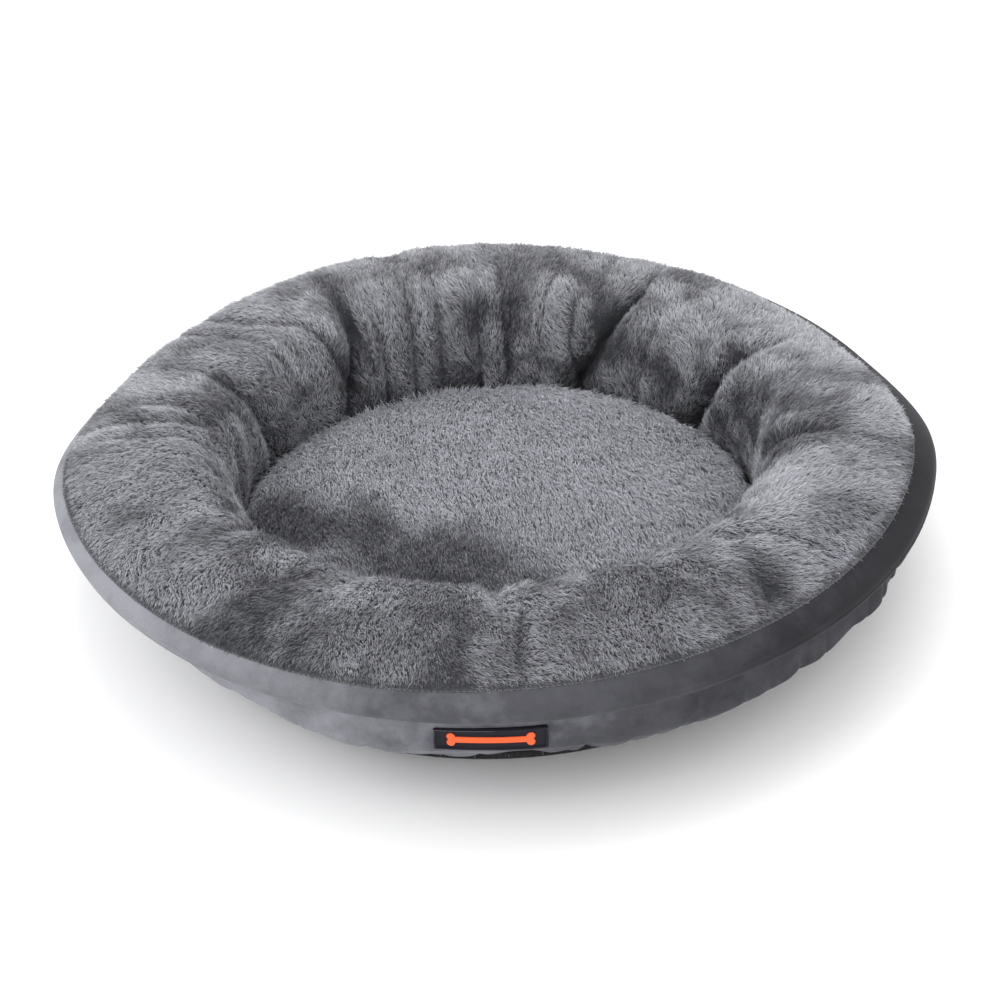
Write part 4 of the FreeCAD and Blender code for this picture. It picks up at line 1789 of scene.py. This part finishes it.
@dataclass
class Cushion:
    """The loose cushion: plush top, plain underside, fibre and welted seam."""

    shape: ShellShape
    steps: int = 180
    shrink: float = 5.0 * MM
    lump: float = 2.5 * MM
    pile: Pile = field(
        default_factory=lambda: Pile(
            Side.CUSHION,
            tuft_gap=2.5 * MM,
            strands=5,
            length=9.5 * MM,
            width=0.62 * MM,
            lean=math.radians(75),
            gather=0.15,
            spread=1.0,
            stretch=1.9,
            swirl=0.18,
            stray=0.16,
            swirl_cell=60 * MM,
            pieces=5,
            seed=7,
        )
    )

    def line(self, inset: float) -> tuple[np.ndarray, np.ndarray, int]:
        """Give the cushion's half section, from the top of its dome to its underside's middle.

        Args:
            inset: How far inside the cover the line lies, in metres.

        Returns:
            Radii, heights and the number of the point on the seam.
        """
        size = self.shape.layout
        edge = size.cushion_radius - self.shrink - inset
        crown = size.cushion_crown - self.shrink * 0.8 - inset
        share = np.linspace(0.02, 1, 44)
        lift = (1 - share**5) ** 0.5
        top_r = edge * share
        top_z = size.cushion_seam + (crown - size.cushion_seam) * lift
        back = np.linspace(1, 0.02, 26)[1:]
        foot = size.cushion_foot + 0.6 * MM + inset
        low_r = edge * back
        low_z = size.cushion_seam - (size.cushion_seam - foot) * (1 - back**6) ** 0.6
        return np.concatenate([top_r, low_r]), np.concatenate([top_z, low_z]), len(share) - 1

    def solid(self, name: str, inset: float) -> tuple[bpy.types.Object, int, int]:
        """Make the whole closed cushion as one mesh.

        Args:
            name: The mesh's name.
            inset: How far inside the cover it lies.

        Returns:
            The object, how many points a section has, and which of them is on the seam.
        """
        radius, height, seam = self.line(inset)
        turn = turns(self.steps)[:, None]
        spread = 1 + self.shape.well_ease(turn) / self.shape.layout.cushion_radius
        points = place_round(turn + 0 * radius, radius * spread, height + 0 * turn)
        columns = len(radius)
        lump = self.lump * cloudy(points.reshape(-1, 3), 0.09, Seed.CUSHION).reshape(points.shape[:2])
        points[..., 2] += lump * (np.arange(columns) < seam)
        crown = self.steps * columns
        faces = [wrapped_grid(self.steps, columns, False), fan(self.steps, columns, 0, crown)]
        faces.append(fan(self.steps, columns, columns - 1, crown + 1)[:, [1, 0, 2]])
        ends = np.array([[0, 0, points[:, 0, 2].mean()], [0, 0, points[:, -1, 2].mean()]])
        every = np.concatenate([points.reshape(-1, 3), ends])
        return new_mesh(name, every, [part[:, ::-1] for part in faces]), columns, seam

    def build(
        self,
        ground: bpy.types.Material,
        pile: bpy.types.Material,
        lining: bpy.types.Material,
        fibre: bpy.types.Material,
        puff: Puff,
    ) -> None:
        """Make the cushion and its pile.

        Args:
            ground: The finish of the plush's ground.
            pile: The finish of the strands.
            lining: The underside's finish.
            fibre: The filling's finish.
            puff: Blows the cushion up.
        """
        whole, columns, seam = self.solid("cushion_whole", 0.0)
        held = np.zeros(len(whole.data.vertices))
        section = np.arange(self.steps * columns) % columns
        held[: len(section)][section == seam] = 1.0
        held[: len(section)][section > seam + 8] = 1.0
        held[-1] = 1.0
        puff.run(whole, held)
        points = read_rows(whole.data)
        body = points[: self.steps * columns].reshape(self.steps, columns, 3)
        body[..., 2] = np.maximum(body[..., 2], self.shape.layout.cushion_foot + 0.3 * MM)
        self.half("cushion_top_plush", body[:, : seam + 1], points[-2], 2.2 * MM, ground, "plush")
        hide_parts("cushion_top_cover")
        low_face = body[:, seam:][:, ::-1]
        self.half("cushion_underside_cloth", low_face, points[-1], -1.0 * MM, lining, "lining")
        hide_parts("cushion_underside")
        whole.data.vertices.foreach_set("co", points.ravel())
        whole.data.update()
        height = self.shape.layout.cushion_seam
        tufts = self.pile.scatter(
            whole,
            np.zeros(len(points)),
            lambda place, facing: (place[:, 2] > height - 4 * MM) & (facing[:, 2] > -0.35),
        )
        bpy.data.objects.remove(whole)
        self.grow(*tufts, pile)
        inner, _, _ = self.solid("cushion_fibre", 6.0 * MM)
        dress(inner, CUSHION, fibre)
        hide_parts("cushion_filling")

    def half(
        self,
        name: str,
        grid: np.ndarray,
        pole: np.ndarray,
        gauge: float,
        finish: bpy.types.Material,
        slot: str,
    ) -> None:
        """Make one half's cover with its thickness.

        Args:
            name: The piece's name.
            grid: Steps by points by three, from the middle to the seam.
            pole: The middle point.
            gauge: The cloth's thickness, positive below the grid.
            finish: The material.
            slot: Not used.
        """
        steps, columns = grid.shape[:2]
        under = grid.copy()
        under[..., 2] -= gauge
        under[:, -1] = grid[:, -1]
        count = steps * columns
        faces = wrapped_grid(steps, columns, False)
        top_fan = fan(steps, columns, 0, 2 * count)
        low_fan = fan(steps, columns, 0, count + 1)[:, [1, 0, 2]] + count
        every = np.concatenate(
            [grid.reshape(-1, 3), under.reshape(-1, 3), [pole], [pole - [0, 0, gauge]]]
        )
        parts = [faces[:, ::-1], faces + count, top_fan[:, ::-1], low_fan[:, ::-1]]
        if gauge < 0:
            parts = [part[:, ::-1] for part in parts]
        piece = new_mesh(name, every, parts)
        dress(piece, CUSHION, finish)

    def grow(
        self, centres: np.ndarray, normals: np.ndarray, deep: np.ndarray, pile: bpy.types.Material
    ) -> None:
        """Grow the cushion's pile in bands from left to right."""
        strands, tint_and_painted_shade, roots = self.pile.strands_at(centres, normals, deep, np.ones(len(deep)))
        self.pile.lay(CUSHION, pile, roots[:, 0], strands, tint_and_painted_shade)


# ---------------------------------------------------------------- stage


@dataclass(frozen=True)
class Studio:
    """Plain pale floor, soft light and the camera."""

    elevation: float = math.radians(34.92)
    distance: float = 1.9587
    aim: Place = (0.0017, 0.0, 0.0438)
    roll: float = math.radians(-2.51)
    lens: float = 86.4
    sensor: float = 36.0
    sky: float = 1.36
    lamps: tuple[tuple[str, Place, float, float], ...] = (
        ("key", (-2.4, -0.6, 2.4), 2.6, 30.0),
        ("top", (0.4, 1.2, 2.8), 2.4, 26.0),
    )
    floor_reach: float = 6.0

    def camera(self) -> None:
        """Add the camera."""
        back = Vector((0, -math.cos(self.elevation), math.sin(self.elevation)))
        right = Vector((1, 0, 0))
        up = back.cross(right)
        across = right * math.cos(self.roll) + up * math.sin(self.roll)
        above = back.cross(across)
        data = bpy.data.cameras.new("camera")
        data.lens = self.lens
        data.sensor_width = self.sensor
        data.clip_end = 50.0
        camera = bpy.data.objects.new("camera", data)
        turn = Matrix((across, above, back)).transposed().to_4x4()
        camera.matrix_world = Matrix.Translation(Vector(self.aim) + back * self.distance) @ turn
        bpy.context.scene.collection.objects.link(camera)
        bpy.context.scene.camera = camera

    def floor(self) -> None:
        """Add the floor."""
        points = self.floor_reach * np.array([[-1, -1, 0], [1, -1, 0], [1, 1, 0], [-1, 1, 0]])
        floor = new_mesh("floor", points, [np.array([[0, 1, 2, 3]])])
        nodes = Nodes("floor_paint")
        nodes.set(Roughness=0.9, Base_Color=(0.93, 0.93, 0.93, 1.0))
        floor.data.materials.append(nodes.material)

    def lamp(self, name: str, place: Place, size: float, power: float) -> None:
        """Add a soft square lamp that faces the bed.

        Args:
            name: The lamp's name.
            place: Where it hangs, in metres.
            size: Its width, in metres.
            power: Its strength, in watts.
        """
        data = bpy.data.lights.new(name, "AREA")
        data.size = size
        data.energy = power
        lamp = bpy.data.objects.new(name, data)
        lamp.location = place
        lamp.rotation_euler = (-Vector(place)).to_track_quat("-Z", "Y").to_euler()
        bpy.context.scene.collection.objects.link(lamp)

    def light(self) -> None:
        """Add the sky and the lamps."""
        world = bpy.data.worlds.new("sky")
        world.use_nodes = True
        sky = world.node_tree.nodes["Background"].inputs
        sky["Color"].default_value = (1.0, 1.0, 1.0, 1.0)
        sky["Strength"].default_value = self.sky
        bpy.context.scene.world = world
        for name, place, size, power in self.lamps:
            self.lamp(name, place, size, power)
        bpy.context.scene.view_settings.view_transform = "Standard"


def sew(shape: ShellShape, thread: bpy.types.Material, dark: bpy.types.Material) -> None:
    """Lay every row of stitches.

    Args:
        shape: The sewn shell's lines.
        thread: The finish of the grey thread.
        dark: The finish of the label's thread.
    """
    size = shape.layout

    def rim(turn: np.ndarray) -> np.ndarray:
        """Give the rim seam's line."""
        radius, height = shape.seam(turn)
        return place_round(turn, radius - 0.6 * MM, height + 0.3 * MM)

    def hem(turn: np.ndarray) -> np.ndarray:
        """Give the line of the base's upturned hem."""
        return place_round(turn, 0 * turn + size.base_radius + 0.3 * MM, 0 * turn + 4.2 * MM)

    def welt(turn: np.ndarray) -> np.ndarray:
        """Give the line of the cushion's seam.

        Args:
            turn: Angles in radians.

        Returns:
            Rows of x, y and z in metres.
        """
        spread = 1 + shape.well_ease(turn) / size.cushion_radius
        radius = (size.cushion_radius - 4.8 * MM) * spread
        return place_round(turn, radius, 0 * turn + size.cushion_seam)

    rows = (
        ("rim_stitches", "rim_seam_thread", rim, 520, 3.0 * MM, False, BED),
        ("hem_stitches", "base_hem_thread", hem, 68, 3.2 * MM, True, BED),
        ("cushion_stitches", "cushion_seam_thread", welt, 320, 2.8 * MM, False, CUSHION),
    )
    for name, node, path, count, length, upright, body in rows:
        piece = Stitches().build(name, path, count, length, upright)
        dress(piece, body, thread)
        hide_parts(node)
    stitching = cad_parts["label_stitching"]
    stitching.data.materials.clear()
    stitching.data.materials.append(dark)


def main() -> None:
    """Build every piece in order."""
    logging.basicConfig(level=logging.INFO, format="%(name)s: %(message)s")
    layout = Layout.from_frame()
    shape = ShellShape(layout)
    plush, ground = PlushFinish().build(), BackingFinish().build()
    velvet, fibre = VelvetFinish().build(), FibreFinish().build()
    side_velvet = VelvetFinish("velvet_side", lift=0.09, cloud=1.0).build()
    cloth = WovenFinish("non_slip_cloth", (0.006, 0.006, 0.007), (0.022, 0.022, 0.025)).build()
    lining = WovenFinish("lining_cloth", (0.07, 0.071, 0.08), (0.16, 0.162, 0.175)).build()
    label = RubberFinish("label_rubber", (0.008, 0.008, 0.015), 0.6).build()
    orange = RubberFinish("motif_rubber", (0.95, 0.13, 0.035), 0.42).build()
    thread = ThreadFinish("grey_thread", (0.12, 0.12, 0.13)).build()
    dark_thread = ThreadFinish("dark_thread", (0.03, 0.03, 0.04)).build()

    bolster = Bolster(shape)
    bolster.build(ground, plush)
    bolster.fill(fibre)
    Rim(shape).build(velvet, fibre)
    SidePanel(shape).build(side_velvet)
    base = Base(layout)
    base.build(cloth)
    base.grip(label)
    base.pad(fibre, lining)
    soft_ground = BackingFinish("cushion_ground", (0.12, 0.122, 0.136), (0.20, 0.203, 0.224)).build()
    soft_plush = PlushFinish("cushion_pile", root=0.5, light=(0.66, 0.67, 0.73)).build()
    Cushion(shape).build(soft_ground, soft_plush, lining, fibre, Puff())
    Label().build(label, orange)
    sew(shape, thread, dark_thread)

    studio = Studio()
    studio.floor()
    studio.light()
    studio.camera()


if __name__ == "__main__":
    main()
